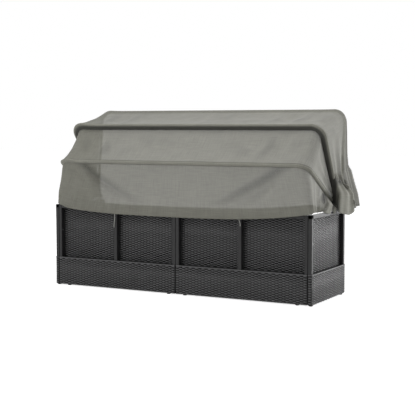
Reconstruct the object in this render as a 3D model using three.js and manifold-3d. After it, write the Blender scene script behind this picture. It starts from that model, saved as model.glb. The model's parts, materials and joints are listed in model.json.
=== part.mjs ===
// Outdoor daybed with a folding canopy, in millimetres, +Z up.
// The origin is on the ground at the middle of the footprint; the open seat side faces -Y.
// Two woven sections stand side by side: "left" is the -X section, "right" the +X section.
import * as THREE from "three";
import { mergeVertices } from "three/addons/utils/BufferGeometryUtils.js";
import Module from "manifold-3d";

const wasm = await Module();
wasm.setup();

// Overall sizes
const daybedLength = 2000;
const daybedDepth = 600;
const backHeight = 584;
const baseHeight = 205;
const footHeight = 8;
const pieceGap = 0.3;
const sectionGap = 1;
const cutOverrun = 2;

// Frames and woven skins
const weaveThickness = 3.5;
const backTubeWidth = 25;
const backTubeDepth = 36;
const armTubeWidth = 25;
const armTubeDepth = 28;
const railHeight = 25;
const seatRailWidth = 25;
const seatRailHeight = 30;
const seatCrossBars = 2;

// Glides and corner bolts
const footRadius = 14;
const footTipRadius = 11;
const backFootInset = 64;
const backFootOuterInset = 79;
const armRearFootInset = 25;
const armFrontFootInset = 50;
const footSides = 16;
const cornerBoltHeight = 400;
const cornerBoltRadius = 4;
const cornerBoltReach = 54;
const cornerBoltHeadRadius = 9;
const cornerBoltHeadHeight = 2.4;
const boltClearance = 0.3;

// Cushions
const seatCushionThickness = 80;
const seatCushionSetBack = 10;
const cushionGap = 6;
const backCushionThickness = 100;
const backCushionHeight = 275;
const cushionDrawIn = 9;
const cushionEdgeShare = 0.62;
const cushionSegments = [11, 8, 4];

// Canopy pivot, on top of the arms
const pivotFromFront = 70;
const pivotAboveArm = 26;
const pivotBoltRadius = 4;
const pivotHeadRadius = 7.5;
const pivotHeadHeight = 5;
const tabThickness = 4;
const tabRadius = 10;
const bracketPlateThickness = 3;
const bracketPlateLength = 60;
const bracketEarThickness = 4;
const bracketEarRadius = 16;
const bracketEarOverhang = 0.9;
const spacerRadius = 9;
const spacerLength = 13.4;
const nutHeight = 6.5;
const hexSides = 6;

// Hoops: one inside the other, angles measured from +Y up about the pivot line
const hoopTubeRadius = 8;
const hoopCorner = 80;
const taperStart = 26;
const taperEnd = 46;
const hoopSides = 8;
const hoopSteps = 72;
const rearHoopReach = 585;
const midHoopReach = 615;
const frontHoopReach = 645;
const rearHoopDegrees = 29.5;
const midHoopDegrees = 60;
const frontHoopDegrees = 96.5;

// Canopy cloth
const clothThickness = 3;
const clothOverTube = 1.7;
const clothSeamGap = 2.4;
const clothStart = 60;
const clothSag = 14;
const hemLow = 531;
const hemRise = 45;
const hemLowestAt = 50;
const hemOutside = 6.6;
const hemCorner = 22;
const hemSideHeight = 602;
const hemSideStart = 330;
const foldDepth = 5;
const foldCount = 7;
const foldWidthShare = 0.16;
const legSteps = 6;
const cornerSteps = 7;
const barSteps = 34;
const panelSteps = 5;

// Flap of the roof cloth that stands off the front hoop, widest at the foot of its legs
const flapEdge = 4;
const flapWidth = 68;
const flapFlare = 40;
const flapDroop = 42;
const flapTop = 285;
const flapSteps = 2;

// Gathered tails that hang over the arms at the pivots
const tailGap = 2.8;
const tailBottomHeight = 548;
const tailOutside = 12;
const tailFrontReach = 66;
const tailRearReach = 212;
const tailFoldDepth = 7;
const tailFolds = 3.5;
const tailSteps = 22;
const tailDropSteps = 8;
const tailFlareShare = 0.4;
const tailTopInsetShare = 0.08;

// Tie cords at the middle stiles
const tieRadius = 1.5;
const tieSides = 8;
const tieSteps = 14;
const longTieRoute = [
  [0, 0, 0],
  [-2, -1, -24],
  [1, -2, -52],
  [4, -1, -78],
  [3, 0, -96],
];
const shortTieRoute = [
  [0, 0, 0],
  [-3, -1, -14],
  [-8, -2, -30],
  [-9, -1, -46],
];

const halfLength = daybedLength / 2;
const halfDepth = daybedDepth / 2;
const innerX = sectionGap / 2;
const armOuterX = halfLength - weaveThickness - pieceGap;
const armInnerX = armOuterX - armTubeWidth;
const sectionOuterX = armInnerX - pieceGap;
const backOuterY = halfDepth - weaveThickness - pieceGap;
const backInnerY = backOuterY - backTubeDepth;
const frameBottomZ = footHeight + pieceGap;
const pivotY = pivotFromFront - halfDepth;
const pivotZ = backHeight + pivotAboveArm;
const earX = armInnerX - bracketEarOverhang;
const bushEndX = (armInnerX + armOuterX) / 2;
const tabRoom = tabThickness / 2 + pieceGap;
const midHoopX = earX - tabRoom;
const rearHoopX = midHoopX - tabRoom - spacerLength - tabRoom;
const frontHoopX = bushEndX + tabRoom;
const rearHoop = { name: "rear_hoop", halfWidth: rearHoopX, reach: rearHoopReach, degrees: rearHoopDegrees };
const midHoop = { name: "mid_hoop", halfWidth: midHoopX, reach: midHoopReach, degrees: midHoopDegrees };
const frontHoop = { name: "front_hoop", halfWidth: frontHoopX, reach: frontHoopReach, degrees: frontHoopDegrees };

const wovenResin = new THREE.MeshStandardMaterial({ color: 0x2e2e31, roughness: 0.55, metalness: 0 });
const frameMetal = new THREE.MeshStandardMaterial({ color: 0x45474a, roughness: 0.45, metalness: 0.4 });
const hoopMetal = new THREE.MeshStandardMaterial({ color: 0x3b3b3c, roughness: 0.4, metalness: 0.6 });
const boltMetal = new THREE.MeshStandardMaterial({ color: 0x9a9c9e, roughness: 0.35, metalness: 0.9 });
const footPlastic = new THREE.MeshStandardMaterial({ color: 0x151515, roughness: 0.6, metalness: 0 });
const cushionCloth = new THREE.MeshStandardMaterial({ color: 0x8d8d86, roughness: 0.9, metalness: 0 });
const canopyCloth = new THREE.MeshStandardMaterial({ color: 0x96968e, roughness: 0.9, metalness: 0 });
const tieCloth = new THREE.MeshStandardMaterial({ color: 0xb9b9af, roughness: 0.9, metalness: 0 });

const daybed = new THREE.Group();

function named(name, geometry, material) {
  const mesh = new THREE.Mesh(geometry, material.clone());
  mesh.name = name;
  daybed.add(mesh);
  return mesh;
}

// A closed geometry as a solid that can be joined and cut.
function solid(geometry) {
  const bare = geometry.clone();
  bare.deleteAttribute("normal");
  bare.deleteAttribute("uv");
  const merged = mergeVertices(bare);
  const mesh = new wasm.Mesh({
    numProp: 3,
    vertProperties: new Float32Array(merged.attributes.position.array),
    triVerts: new Uint32Array(merged.index.array),
  });
  return new wasm.Manifold(mesh);
}

function geometryOf(joined) {
  const mesh = joined.getMesh();
  const geometry = new THREE.BufferGeometry();
  geometry.setAttribute("position", new THREE.BufferAttribute(mesh.vertProperties, 3));
  geometry.setIndex(new THREE.BufferAttribute(mesh.triVerts, 1));
  return geometry;
}

function box(lowX, highX, lowY, highY, lowZ, highZ) {
  const geometry = new THREE.BoxGeometry(highX - lowX, highY - lowY, highZ - lowZ);
  geometry.translate((lowX + highX) / 2, (lowY + highY) / 2, (lowZ + highZ) / 2);
  return geometry;
}

// A round bar along X between two places, at a given Y and Z.
function barAlongX(radius, fromX, toX, y, z, sides) {
  const geometry = new THREE.CylinderGeometry(radius, radius, toX - fromX, sides);
  geometry.rotateZ(Math.PI / 2);
  geometry.translate((fromX + toX) / 2, y, z);
  return geometry;
}

function joined(geometries) {
  return geometries.map(solid).reduce((whole, next) => whole.add(next));
}

// The +X copy of a geometry is kept, or turned to its mirror image for the -X section.
function onSide(geometry, side) {
  if (side > 0) return geometry;
  const mirrored = geometry.index ? geometry.toNonIndexed() : geometry.clone();
  mirrored.scale(-1, 1, 1);
  const places = mirrored.attributes.position;
  for (let corner = 0; corner < places.count; corner += 3) {
    const second = new THREE.Vector3().fromBufferAttribute(places, corner + 1);
    const third = new THREE.Vector3().fromBufferAttribute(places, corner + 2);
    places.setXYZ(corner + 1, third.x, third.y, third.z);
    places.setXYZ(corner + 2, second.x, second.y, second.z);
  }
  return mirrored;
}

function backFrame() {
  const middle = (innerX + sectionOuterX) / 2;
  const endX = sectionOuterX - backTubeWidth - pieceGap;
  const stiles = [innerX, middle - backTubeWidth / 2];
  const rails = [frameBottomZ, baseHeight - railHeight, backHeight - railHeight];
  const bars = stiles.map((x) =>
    box(x, x + backTubeWidth, backInnerY, backOuterY, frameBottomZ, backHeight),
  );
  rails.forEach((z) => bars.push(box(innerX, endX, backInnerY, backOuterY, z, z + railHeight)));
  return geometryOf(joined(bars));
}

// The post at the outer end of the back frame, bolted through to the arm.
function cornerPost() {
  const lowX = sectionOuterX - backTubeWidth;
  const post = solid(box(lowX, sectionOuterX, backInnerY, backOuterY, frameBottomZ, backHeight));
  return geometryOf(post.subtract(cornerBoltHole(lowX - cutOverrun)));
}

function armFrame() {
  const posts = [-backOuterY, backOuterY - armTubeDepth];
  const rails = [frameBottomZ, baseHeight - railHeight, backHeight - railHeight];
  const bars = posts.map((y) =>
    box(armInnerX, armOuterX, y, y + armTubeDepth, frameBottomZ, backHeight),
  );
  rails.forEach((z) => bars.push(box(armInnerX, armOuterX, -backOuterY, backOuterY, z, z + railHeight)));
  return geometryOf(joined(bars).subtract(cornerBoltHole(armInnerX - cutOverrun)));
}

function cornerBoltHole(fromX) {
  const start = Math.max(fromX, armOuterX - cornerBoltReach - pieceGap);
  const radius = cornerBoltRadius + boltClearance;
  return solid(barAlongX(radius, start, halfLength + cutOverrun, cornerBoltY(), cornerBoltHeight, footSides));
}

function cornerBoltY() {
  return backOuterY - armTubeDepth / 2;
}

// A bolt with a low domed head, from the arm's outer face into the back's end stile.
function cornerBolt() {
  const headX = armOuterX + pieceGap;
  const profile = [
    [0, headX + cornerBoltHeadHeight],
    [cornerBoltHeadRadius / 2, headX + cornerBoltHeadHeight],
    [cornerBoltHeadRadius, headX + pieceGap],
    [cornerBoltHeadRadius, headX],
    [cornerBoltRadius, headX],
    [cornerBoltRadius, armOuterX - cornerBoltReach],
    [0, armOuterX - cornerBoltReach],
  ].map(([radius, along]) => new THREE.Vector2(radius, along));
  const geometry = new THREE.LatheGeometry(profile.reverse(), footSides);
  geometry.rotateZ(-Math.PI / 2);
  geometry.translate(0, cornerBoltY(), cornerBoltHeight);
  return geometry;
}

// The front carries only the low base: posts and two rails.
function frontFrame() {
  const middle = (innerX + sectionOuterX) / 2;
  const stiles = [innerX, middle - backTubeWidth / 2, sectionOuterX - backTubeWidth];
  const rails = [frameBottomZ, baseHeight - railHeight];
  const bars = stiles.map((x) =>
    box(x, x + backTubeWidth, -backOuterY, -backInnerY, frameBottomZ, baseHeight),
  );
  rails.forEach((z) => bars.push(box(innerX, sectionOuterX, -backOuterY, -backInnerY, z, z + railHeight)));
  return geometryOf(joined(bars));
}

function backSkirt() {
  return box(innerX, sectionOuterX, backOuterY + pieceGap, halfDepth, frameBottomZ, baseHeight);
}

function frontSkirt() {
  return box(innerX, sectionOuterX, -halfDepth, -backOuterY - pieceGap, frameBottomZ, baseHeight);
}

// The arm's skirt is woven round the end posts, so it returns on to the front and the back.
function armSkirt() {
  const outline = new THREE.Shape();
  const wrapX = armOuterX + pieceGap;
  const wrapY = backOuterY + pieceGap;
  outline.moveTo(armInnerX, -halfDepth);
  outline.lineTo(halfLength, -halfDepth);
  outline.lineTo(halfLength, halfDepth);
  outline.lineTo(armInnerX, halfDepth);
  outline.lineTo(armInnerX, wrapY);
  outline.lineTo(wrapX, wrapY);
  outline.lineTo(wrapX, -wrapY);
  outline.lineTo(armInnerX, -wrapY);
  outline.closePath();
  const geometry = new THREE.ExtrudeGeometry(outline, { depth: baseHeight - frameBottomZ, bevelEnabled: false });
  geometry.translate(0, 0, frameBottomZ);
  return geometry;
}

// The upper weave is nailed to the seat side of the frame.
function backWeave() {
  const innerFaceY = backInnerY - pieceGap - weaveThickness;
  return box(innerX, sectionOuterX, innerFaceY, backInnerY - pieceGap, baseHeight + pieceGap, backHeight);
}

function armWeave() {
  const rearY = backInnerY - weaveThickness - pieceGap - pieceGap;
  const innerFaceX = sectionOuterX - weaveThickness;
  return box(innerFaceX, sectionOuterX, -backOuterY, rearY, baseHeight + pieceGap, backHeight);
}

function seatFrame() {
  const topZ = baseHeight - weaveThickness - pieceGap;
  const lowZ = topZ - seatRailHeight;
  const frontY = -backInnerY + pieceGap;
  const rearY = backInnerY - pieceGap;
  const bars = [
    box(innerX, sectionOuterX, frontY, frontY + seatRailWidth, lowZ, topZ),
    box(innerX, sectionOuterX, rearY - seatRailWidth, rearY, lowZ, topZ),
  ];
  const pitch = (sectionOuterX - innerX - seatRailWidth) / (seatCrossBars + 1);
  for (let bar = 0; bar <= seatCrossBars + 1; bar += 1) {
    const x = innerX + bar * pitch;
    bars.push(box(x, x + seatRailWidth, frontY, rearY, lowZ, topZ));
  }
  return geometryOf(joined(bars));
}

function seatDeck() {
  const frontY = -backInnerY + pieceGap;
  return box(innerX, sectionOuterX, frontY, -frontY, baseHeight - weaveThickness, baseHeight);
}

// A glide foot: a short cone that narrows to the ground.
function foot(x, y) {
  const profile = [
    [0, 0],
    [footTipRadius, 0],
    [footRadius, footHeight / 2],
    [footRadius, footHeight],
    [0, footHeight],
  ].map(([radius, height]) => new THREE.Vector2(radius, height));
  const geometry = new THREE.LatheGeometry(profile, footSides);
  geometry.rotateX(Math.PI / 2);
  geometry.translate(x, y, 0);
  return geometry;
}

// A filled cushion: its faces crown towards the middle and its sides are drawn in between the corners.
function cushion(width, depth, thickness) {
  const geometry = new THREE.BoxGeometry(width, depth, thickness, ...cushionSegments);
  const places = geometry.attributes.position;
  for (let corner = 0; corner < places.count; corner += 1) {
    const u = (2 * places.getX(corner)) / width;
    const v = (2 * places.getY(corner)) / depth;
    const w = (2 * places.getZ(corner)) / thickness;
    const crown = Math.sqrt(Math.max(0, (1 - u ** 4) * (1 - v ** 4)));
    const rise = cushionEdgeShare + (1 - cushionEdgeShare) * crown;
    const tuck = cushionDrawIn * w * w;
    places.setX(corner, u * (width / 2 - cushionDrawIn * (1 - v * v) - tuck));
    places.setY(corner, v * (depth / 2 - cushionDrawIn * (1 - u * u) - tuck));
    places.setZ(corner, (w * thickness * rise) / 2);
  }
  return geometry;
}

function seatCushion() {
  const lowX = innerX + pieceGap;
  const highX = sectionOuterX - weaveThickness - cushionGap;
  const frontY = seatCushionSetBack - halfDepth;
  const rearY = backInnerY - weaveThickness - cushionGap;
  const geometry = cushion(highX - lowX, rearY - frontY, seatCushionThickness);
  const middleZ = baseHeight + pieceGap + seatCushionThickness / 2;
  geometry.translate((lowX + highX) / 2, (frontY + rearY) / 2, middleZ);
  return geometry;
}

function backCushion(place) {
  const lowX = innerX + pieceGap;
  const highX = sectionOuterX - weaveThickness - cushionGap;
  const width = (highX - lowX - pieceGap) / 2;
  const rearY = backInnerY - weaveThickness - pieceGap - pieceGap;
  const geometry = cushion(width, backCushionHeight, backCushionThickness);
  geometry.rotateX(Math.PI / 2);
  const middleZ = baseHeight + seatCushionThickness + pieceGap + pieceGap + backCushionHeight / 2;
  geometry.translate(lowX + width / 2 + place * (width + pieceGap), rearY - backCushionThickness / 2, middleZ);
  return geometry;
}

// The centre line of one hoop in its own plane: X across and the radial direction away from the pivot.
function hoopCentreLine(hoop) {
  const side = hoop.halfWidth;
  const shoulder = hoop.reach - hoopCorner;
  const path = new THREE.CurvePath();
  const at = (x, radial) => new THREE.Vector3(x, radial, 0);
  path.add(new THREE.LineCurve3(at(-side, taperEnd - cutOverrun), at(-side, shoulder)));
  path.add(cornerCurve(at(-side, shoulder), at(-side, hoop.reach), at(hoopCorner - side, hoop.reach)));
  path.add(new THREE.LineCurve3(at(hoopCorner - side, hoop.reach), at(side - hoopCorner, hoop.reach)));
  path.add(cornerCurve(at(side - hoopCorner, hoop.reach), at(side, hoop.reach), at(side, shoulder)));
  path.add(new THREE.LineCurve3(at(side, shoulder), at(side, taperEnd - cutOverrun)));
  return path;
}

// A quarter bend whose handles follow a round arc.
function cornerCurve(from, corner, to) {
  const arcHandleShare = 0.5523;
  const first = from.clone().lerp(corner, arcHandleShare);
  const second = to.clone().lerp(corner, arcHandleShare);
  return new THREE.CubicBezierCurve3(from, first, second, to);
}

function circleShape(radius, sides) {
  const shape = new THREE.Shape();
  for (let side = 0; side < sides; side += 1) {
    const turn = ((side + 1 / 2) * 2 * Math.PI) / sides;
    const x = radius * Math.cos(turn);
    const y = radius * Math.sin(turn);
    if (side === 0) shape.moveTo(x, y);
    else shape.lineTo(x, y);
  }
  shape.closePath();
  return shape;
}

// The leg's end goes from round tube to a flat tab.
function swagedEnd(x) {
  const length = taperEnd - taperStart;
  const geometry = new THREE.CylinderGeometry(hoopTubeRadius, hoopTubeRadius, length, hoopSides);
  const places = geometry.attributes.position;
  for (let corner = 0; corner < places.count; corner += 1) {
    if (places.getY(corner) > 0) continue;
    places.setX(corner, (places.getX(corner) * tabThickness) / 2 / hoopTubeRadius);
    places.setZ(corner, (places.getZ(corner) * tabRadius) / hoopTubeRadius);
  }
  geometry.translate(x, (taperStart + taperEnd) / 2, 0);
  return geometry;
}

// The flat tab with a round end and the bolt's hole.
function hoopTab(x) {
  const shape = new THREE.Shape();
  shape.absarc(0, 0, tabRadius, Math.PI, 2 * Math.PI, false);
  shape.lineTo(tabRadius, taperStart + cutOverrun);
  shape.lineTo(-tabRadius, taperStart + cutOverrun);
  shape.closePath();
  const hole = new THREE.Path();
  hole.absarc(0, 0, pivotBoltRadius + boltClearance, 0, 2 * Math.PI, true);
  shape.holes.push(hole);
  const settings = { depth: tabThickness, bevelEnabled: false, curveSegments: hoopSides };
  const geometry = new THREE.ExtrudeGeometry(shape, settings);
  geometry.rotateY(Math.PI / 2);
  geometry.translate(x - tabThickness / 2, 0, 0);
  return geometry;
}

function hoopSolid(hoop) {
  const bow = new THREE.ExtrudeGeometry(circleShape(hoopTubeRadius, hoopSides), {
    steps: hoopSteps,
    bevelEnabled: false,
    extrudePath: hoopCentreLine(hoop),
  });
  const parts = [bow];
  [-hoop.halfWidth, hoop.halfWidth].forEach((x) => parts.push(swagedEnd(x), hoopTab(x)));
  return geometryOf(joined(parts));
}

function addHoop(hoop) {
  const mesh = named(hoop.name, hoopSolid(hoop), hoopMetal);
  mesh.position.set(0, pivotY, pivotZ);
  mesh.rotation.x = THREE.MathUtils.degToRad(hoop.degrees);
}

// A plate on the arm's top rail with one upright ear, and a bush that stands the front hoop off.
function pivotBracket() {
  const lowZ = backHeight + pieceGap;
  const plate = box(
    armInnerX,
    armOuterX,
    pivotY - bracketPlateLength / 2,
    pivotY + bracketPlateLength / 2,
    lowZ,
    lowZ + bracketPlateThickness,
  );
  const earEndX = earX + bracketEarThickness;
  const ear = box(earX, earEndX, pivotY - bracketEarRadius, pivotY + bracketEarRadius, lowZ, pivotZ);
  const earTop = barAlongX(bracketEarRadius, earX, earEndX, pivotY, pivotZ, footSides);
  const bush = barAlongX(spacerRadius, earX, bushEndX, pivotY, pivotZ, footSides);
  return geometryOf(joined([plate, ear, earTop, bush]).subtract(boltRoom(earX, bushEndX)));
}

function pivotBolt() {
  const headX = rearHoopX - tabRoom;
  const endX = frontHoopX + tabRoom + nutHeight + pieceGap;
  const head = barAlongX(pivotHeadRadius, headX - pivotHeadHeight, headX, pivotY, pivotZ, hexSides);
  const shank = barAlongX(pivotBoltRadius, headX - pieceGap, endX, pivotY, pivotZ, footSides);
  return geometryOf(joined([head, shank]));
}

function pivotNut() {
  const lowX = frontHoopX + tabRoom;
  const body = solid(barAlongX(pivotHeadRadius, lowX, lowX + nutHeight, pivotY, pivotZ, hexSides));
  return geometryOf(body.subtract(boltRoom(lowX, lowX + nutHeight)));
}

function pivotSpacer() {
  const lowX = rearHoopX + tabRoom;
  const highX = midHoopX - tabRoom;
  const body = solid(barAlongX(spacerRadius, lowX, highX, pivotY, pivotZ, footSides));
  return geometryOf(body.subtract(boltRoom(lowX, highX)));
}

function boltRoom(fromX, toX) {
  const radius = pivotBoltRadius + boltClearance;
  return solid(barAlongX(radius, fromX - cutOverrun, toX + cutOverrun, pivotY, pivotZ, footSides));
}

// The line that the cloth follows round one hoop, on the tube's outer side, from one pivot to the other.
function clothLine(hoop) {
  const offset = hoopTubeRadius + clothOverTube + clothThickness / 2;
  const side = hoop.halfWidth + offset;
  const reach = hoop.reach + offset;
  const corner = hoopCorner + offset;
  const turn = THREE.MathUtils.degToRad(hoop.degrees);
  return bowPlaces(side, clothStart, reach, corner).map(([x, radial]) => {
    return new THREE.Vector3(x, pivotY + radial * Math.cos(turn), pivotZ + radial * Math.sin(turn));
  });
}

// Places along a bow of two legs, two round corners and a bar, in [across, away] pairs.
function bowPlaces(side, start, reach, corner) {
  const places = [];
  for (let step = 0; step < legSteps; step += 1) {
    places.push([-side, start + ((reach - corner - start) * step) / legSteps]);
  }
  for (let step = 0; step < cornerSteps; step += 1) {
    const turn = (Math.PI / 2) * (step / cornerSteps);
    places.push([corner * (1 - Math.cos(turn)) - side, reach - corner * (1 - Math.sin(turn))]);
  }
  for (let step = 0; step <= barSteps; step += 1) {
    places.push([(side - corner) * ((2 * step) / barSteps - 1), reach]);
  }
  const firstHalf = places.slice(0, legSteps + cornerSteps);
  firstHalf.reverse().forEach(([x, away]) => places.push([-x, away]));
  return places;
}

// The hem: round the outside of the back and the arms, lowest near the middle of the back.
function hemLine() {
  const side = halfLength + hemOutside;
  const reach = halfDepth + hemOutside;
  return bowPlaces(side, pivotY + hemSideStart, reach, hemCorner).map(([x, y]) => {
    const shift = Math.abs((x - hemLowestAt) / (halfLength - hemLowestAt));
    const backZ = hemLow + hemRise * shift ** 3;
    const forward = THREE.MathUtils.clamp((reach - y) / hemCorner, 0, 1);
    return new THREE.Vector3(x, y, backZ + (hemSideHeight - backZ) * forward);
  });
}

// Rows of places between two lines, drawn in by the sag between the hoops and set off from both by half a seam.
function rowsBetween(first, last, sag) {
  const rows = [];
  const pivot = new THREE.Vector3(0, pivotY, pivotZ);
  for (let row = 0; row <= panelSteps; row += 1) {
    rows.push(
      first.map((from, place) => {
        const span = from.distanceTo(last[place]);
        const inset = clothSeamGap / 2 / span;
        const along = inset + ((1 - 2 * inset) * row) / panelSteps;
        const spot = from.clone().lerp(last[place], along);
        const inward = new THREE.Vector3(0, pivot.y - spot.y, pivot.z - spot.z);
        const reach = inward.length();
        const hollow = 4 * along * (1 - along) * sag * Math.min(1, reach / rearHoop.reach);
        return spot.addScaledVector(inward.normalize(), hollow);
      }),
    );
  }
  return rows;
}

// The roof cloth's rows, then the rows of the flap that flares ahead of the front hoop's legs.
function roofRows() {
  const rows = rowsBetween(midLine, frontLine, clothSag);
  const turn = THREE.MathUtils.degToRad(frontHoop.degrees);
  const ahead = new THREE.Vector3(0, -Math.sin(turn), Math.cos(turn));
  for (let step = 1; step <= flapSteps; step += 1) {
    rows.push(frontLine.map((spot) => flapPlace(spot, ahead, step / flapSteps)));
  }
  return rows;
}

function flapPlace(spot, ahead, along) {
  const away = Math.hypot(spot.y - pivotY, spot.z - pivotZ);
  const share = THREE.MathUtils.clamp((flapTop - away) / (flapTop - clothStart), 0, 1);
  const flare = Math.sign(spot.x) * flapFlare * share;
  const set = new THREE.Vector3(flare, 0, -flapDroop * share);
  set.addScaledVector(ahead, flapEdge + flapWidth * share);
  return spot.clone().addScaledVector(set, along);
}

// Folds that fan out below the two ends of the rear hoop and die out towards the middle.
function foldRows(rows) {
  return rows.map((row, rowNumber) =>
    row.map((spot, place) => {
      const across = place / (row.length - 1);
      const fromEnd = Math.min(across, 1 - across) / foldWidthShare;
      const down = 1 - rowNumber / (rows.length - 1);
      const strength = Math.max(0, 1 - Math.abs(fromEnd - 1)) * down;
      const wave = Math.sin(fromEnd * foldCount) * foldDepth * strength;
      return spot.clone().add(new THREE.Vector3(0, wave, 0));
    }),
  );
}

// A sheet of even thickness over rows of places, as one closed solid.
function sheet(rows, thickness) {
  const rowCount = rows.length;
  const placeCount = rows[0].length;
  const corners = [];
  [1 / 2, -1 / 2].forEach((level) => {
    rows.forEach((row, rowNumber) => {
      row.forEach((spot, place) => {
        const normal = sheetNormal(rows, rowNumber, place);
        corners.push(...spot.clone().addScaledVector(normal, level * thickness).toArray());
      });
    });
  });
  const at = (level, row, place) => level * rowCount * placeCount + row * placeCount + place;
  const faces = [];
  const quad = (a, b, c, d) => faces.push(a, b, c, a, c, d);
  for (let row = 0; row < rowCount - 1; row += 1) {
    for (let place = 0; place < placeCount - 1; place += 1) {
      quad(at(0, row, place), at(0, row, place + 1), at(0, row + 1, place + 1), at(0, row + 1, place));
      quad(at(1, row, place), at(1, row + 1, place), at(1, row + 1, place + 1), at(1, row, place + 1));
    }
    const lastPlace = placeCount - 1;
    quad(at(0, row, 0), at(0, row + 1, 0), at(1, row + 1, 0), at(1, row, 0));
    quad(at(0, row, lastPlace), at(1, row, lastPlace), at(1, row + 1, lastPlace), at(0, row + 1, lastPlace));
  }
  for (let place = 0; place < placeCount - 1; place += 1) {
    const lastRow = rowCount - 1;
    quad(at(0, 0, place), at(1, 0, place), at(1, 0, place + 1), at(0, 0, place + 1));
    quad(at(0, lastRow, place), at(0, lastRow, place + 1), at(1, lastRow, place + 1), at(1, lastRow, place));
  }
  const geometry = new THREE.BufferGeometry();
  geometry.setAttribute("position", new THREE.Float32BufferAttribute(corners, 3));
  geometry.setIndex(faces);
  return geometry;
}

function sheetNormal(rows, rowNumber, place) {
  const lastRow = rows.length - 1;
  const lastPlace = rows[0].length - 1;
  const before = rows[Math.max(0, rowNumber - 1)][place];
  const after = rows[Math.min(lastRow, rowNumber + 1)][place];
  const left = rows[rowNumber][Math.max(0, place - 1)];
  const right = rows[rowNumber][Math.min(lastPlace, place + 1)];
  const along = right.clone().sub(left);
  return along.cross(after.clone().sub(before)).normalize();
}

// The gathered side cloth below one pivot: a short bell that flares over the arm's outer face.
function canopyTail() {
  const gathered = [];
  const bottom = [];
  const pivot = new THREE.Vector3(0, pivotY, pivotZ);
  const fromMid = clothLine(midHoop).at(-1);
  const fromFront = clothLine(frontHoop).at(-1);
  for (let step = 0; step <= tailSteps; step += 1) {
    const share = step / tailSteps;
    const top = fromMid.clone().lerp(fromFront, tailTopInsetShare + (1 - 2 * tailTopInsetShare) * share);
    const inward = new THREE.Vector3(0, pivot.y - top.y, pivot.z - top.z).normalize();
    gathered.push(top.addScaledVector(inward, tailGap));
    const y = pivotY + tailRearReach - (tailRearReach + tailFrontReach) * share;
    bottom.push(new THREE.Vector3(halfLength + tailOutside, y, tailBottomHeight));
  }
  const rows = [];
  for (let row = 0; row <= tailDropSteps; row += 1) {
    const down = row / tailDropSteps;
    const out = Math.min(1, down / tailFlareShare);
    rows.push(
      gathered.map((top, step) => {
        const low = bottom[step];
        const wave = Math.sin((2 * Math.PI * tailFolds * step) / tailSteps) * tailFoldDepth * down;
        const x = top.x + (low.x - top.x) * out + Math.max(0, wave);
        return new THREE.Vector3(x, top.y + (low.y - top.y) * down, top.z + (low.z - top.z) * down);
      }),
    );
  }
  return sheet(rows, clothThickness);
}

// A tie cord that hangs from the hem at one middle stile.
function tieCord(x, route) {
  const shift = Math.abs((x - hemLowestAt) / (halfLength - hemLowestAt));
  const topZ = hemLow + hemRise * shift ** 3 + clothSeamGap / 2 - pieceGap;
  const y = halfDepth + hemOutside;
  const points = route.map(([dx, dy, dz]) => new THREE.Vector3(x + dx, y + dy, topZ + dz));
  return new THREE.ExtrudeGeometry(circleShape(tieRadius, tieSides), {
    steps: tieSteps,
    bevelEnabled: false,
    extrudePath: new THREE.CatmullRomCurve3(points),
  });
}

const sections = { left: -1, right: 1 };

Object.entries(sections).forEach(([side, sign]) => {
  const add = (name, geometry, material) => named(`${side}_${name}`, onSide(geometry, sign), material);
  add("back_frame", backFrame(), frameMetal);
  add("corner_post", cornerPost(), frameMetal);
  add("back_weave", backWeave(), wovenResin);
  add("back_skirt", backSkirt(), wovenResin);
  add("arm_frame", armFrame(), frameMetal);
  add("arm_weave", armWeave(), wovenResin);
  add("arm_skirt", armSkirt(), wovenResin);
  add("front_frame", frontFrame(), frameMetal);
  add("front_skirt", frontSkirt(), wovenResin);
  add("seat_frame", seatFrame(), frameMetal);
  add("seat_deck", seatDeck(), wovenResin);
  add("seat_cushion", seatCushion(), cushionCloth);
  add("back_cushion_inner", backCushion(0), cushionCloth);
  add("back_cushion_outer", backCushion(1), cushionCloth);
  add("corner_bolt", cornerBolt(), boltMetal);
  const footY = backOuterY - backTubeDepth / 2;
  const outerFootX = sectionOuterX - backFootOuterInset;
  const armFootX = (armInnerX + armOuterX) / 2;
  add("back_foot_inner", foot(backFootInset, footY), footPlastic);
  add("back_foot_outer", foot(outerFootX, footY), footPlastic);
  add("front_foot_inner", foot(backFootInset, -footY), footPlastic);
  add("front_foot_outer", foot(outerFootX, -footY), footPlastic);
  add("arm_foot_rear", foot(armFootX, halfDepth - armRearFootInset), footPlastic);
  add("arm_foot_front", foot(armFootX, armFrontFootInset - halfDepth), footPlastic);
  add("pivot_bracket", pivotBracket(), frameMetal);
  add("pivot_bolt", pivotBolt(), boltMetal);
  add("pivot_nut", pivotNut(), boltMetal);
  add("pivot_spacer", pivotSpacer(), boltMetal);
  add("canopy_tail", canopyTail(), canopyCloth);
});

[rearHoop, midHoop, frontHoop].forEach(addHoop);

const rearLine = clothLine(rearHoop);
const midLine = clothLine(midHoop);
const frontLine = clothLine(frontHoop);
const stileX = (innerX + sectionOuterX) / 2;
named("canopy_rear_drop", sheet(foldRows(rowsBetween(hemLine(), rearLine, 0)), clothThickness), canopyCloth);
named("canopy_rear_panel", sheet(rowsBetween(rearLine, midLine, clothSag), clothThickness), canopyCloth);
named("canopy_roof_panel", sheet(roofRows(), clothThickness), canopyCloth);
named("right_tie_cord", tieCord(stileX, longTieRoute), tieCloth);
named("left_tie_cord", tieCord(-stileX, shortTieRoute), tieCloth);

export default daybed;
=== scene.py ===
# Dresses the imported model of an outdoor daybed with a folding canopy, in metres, in the model's own frame.
# +X runs along the daybed to its right section, +Y to the back panels, +Z up; the open seat side faces -Y.
import json
import math

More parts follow.
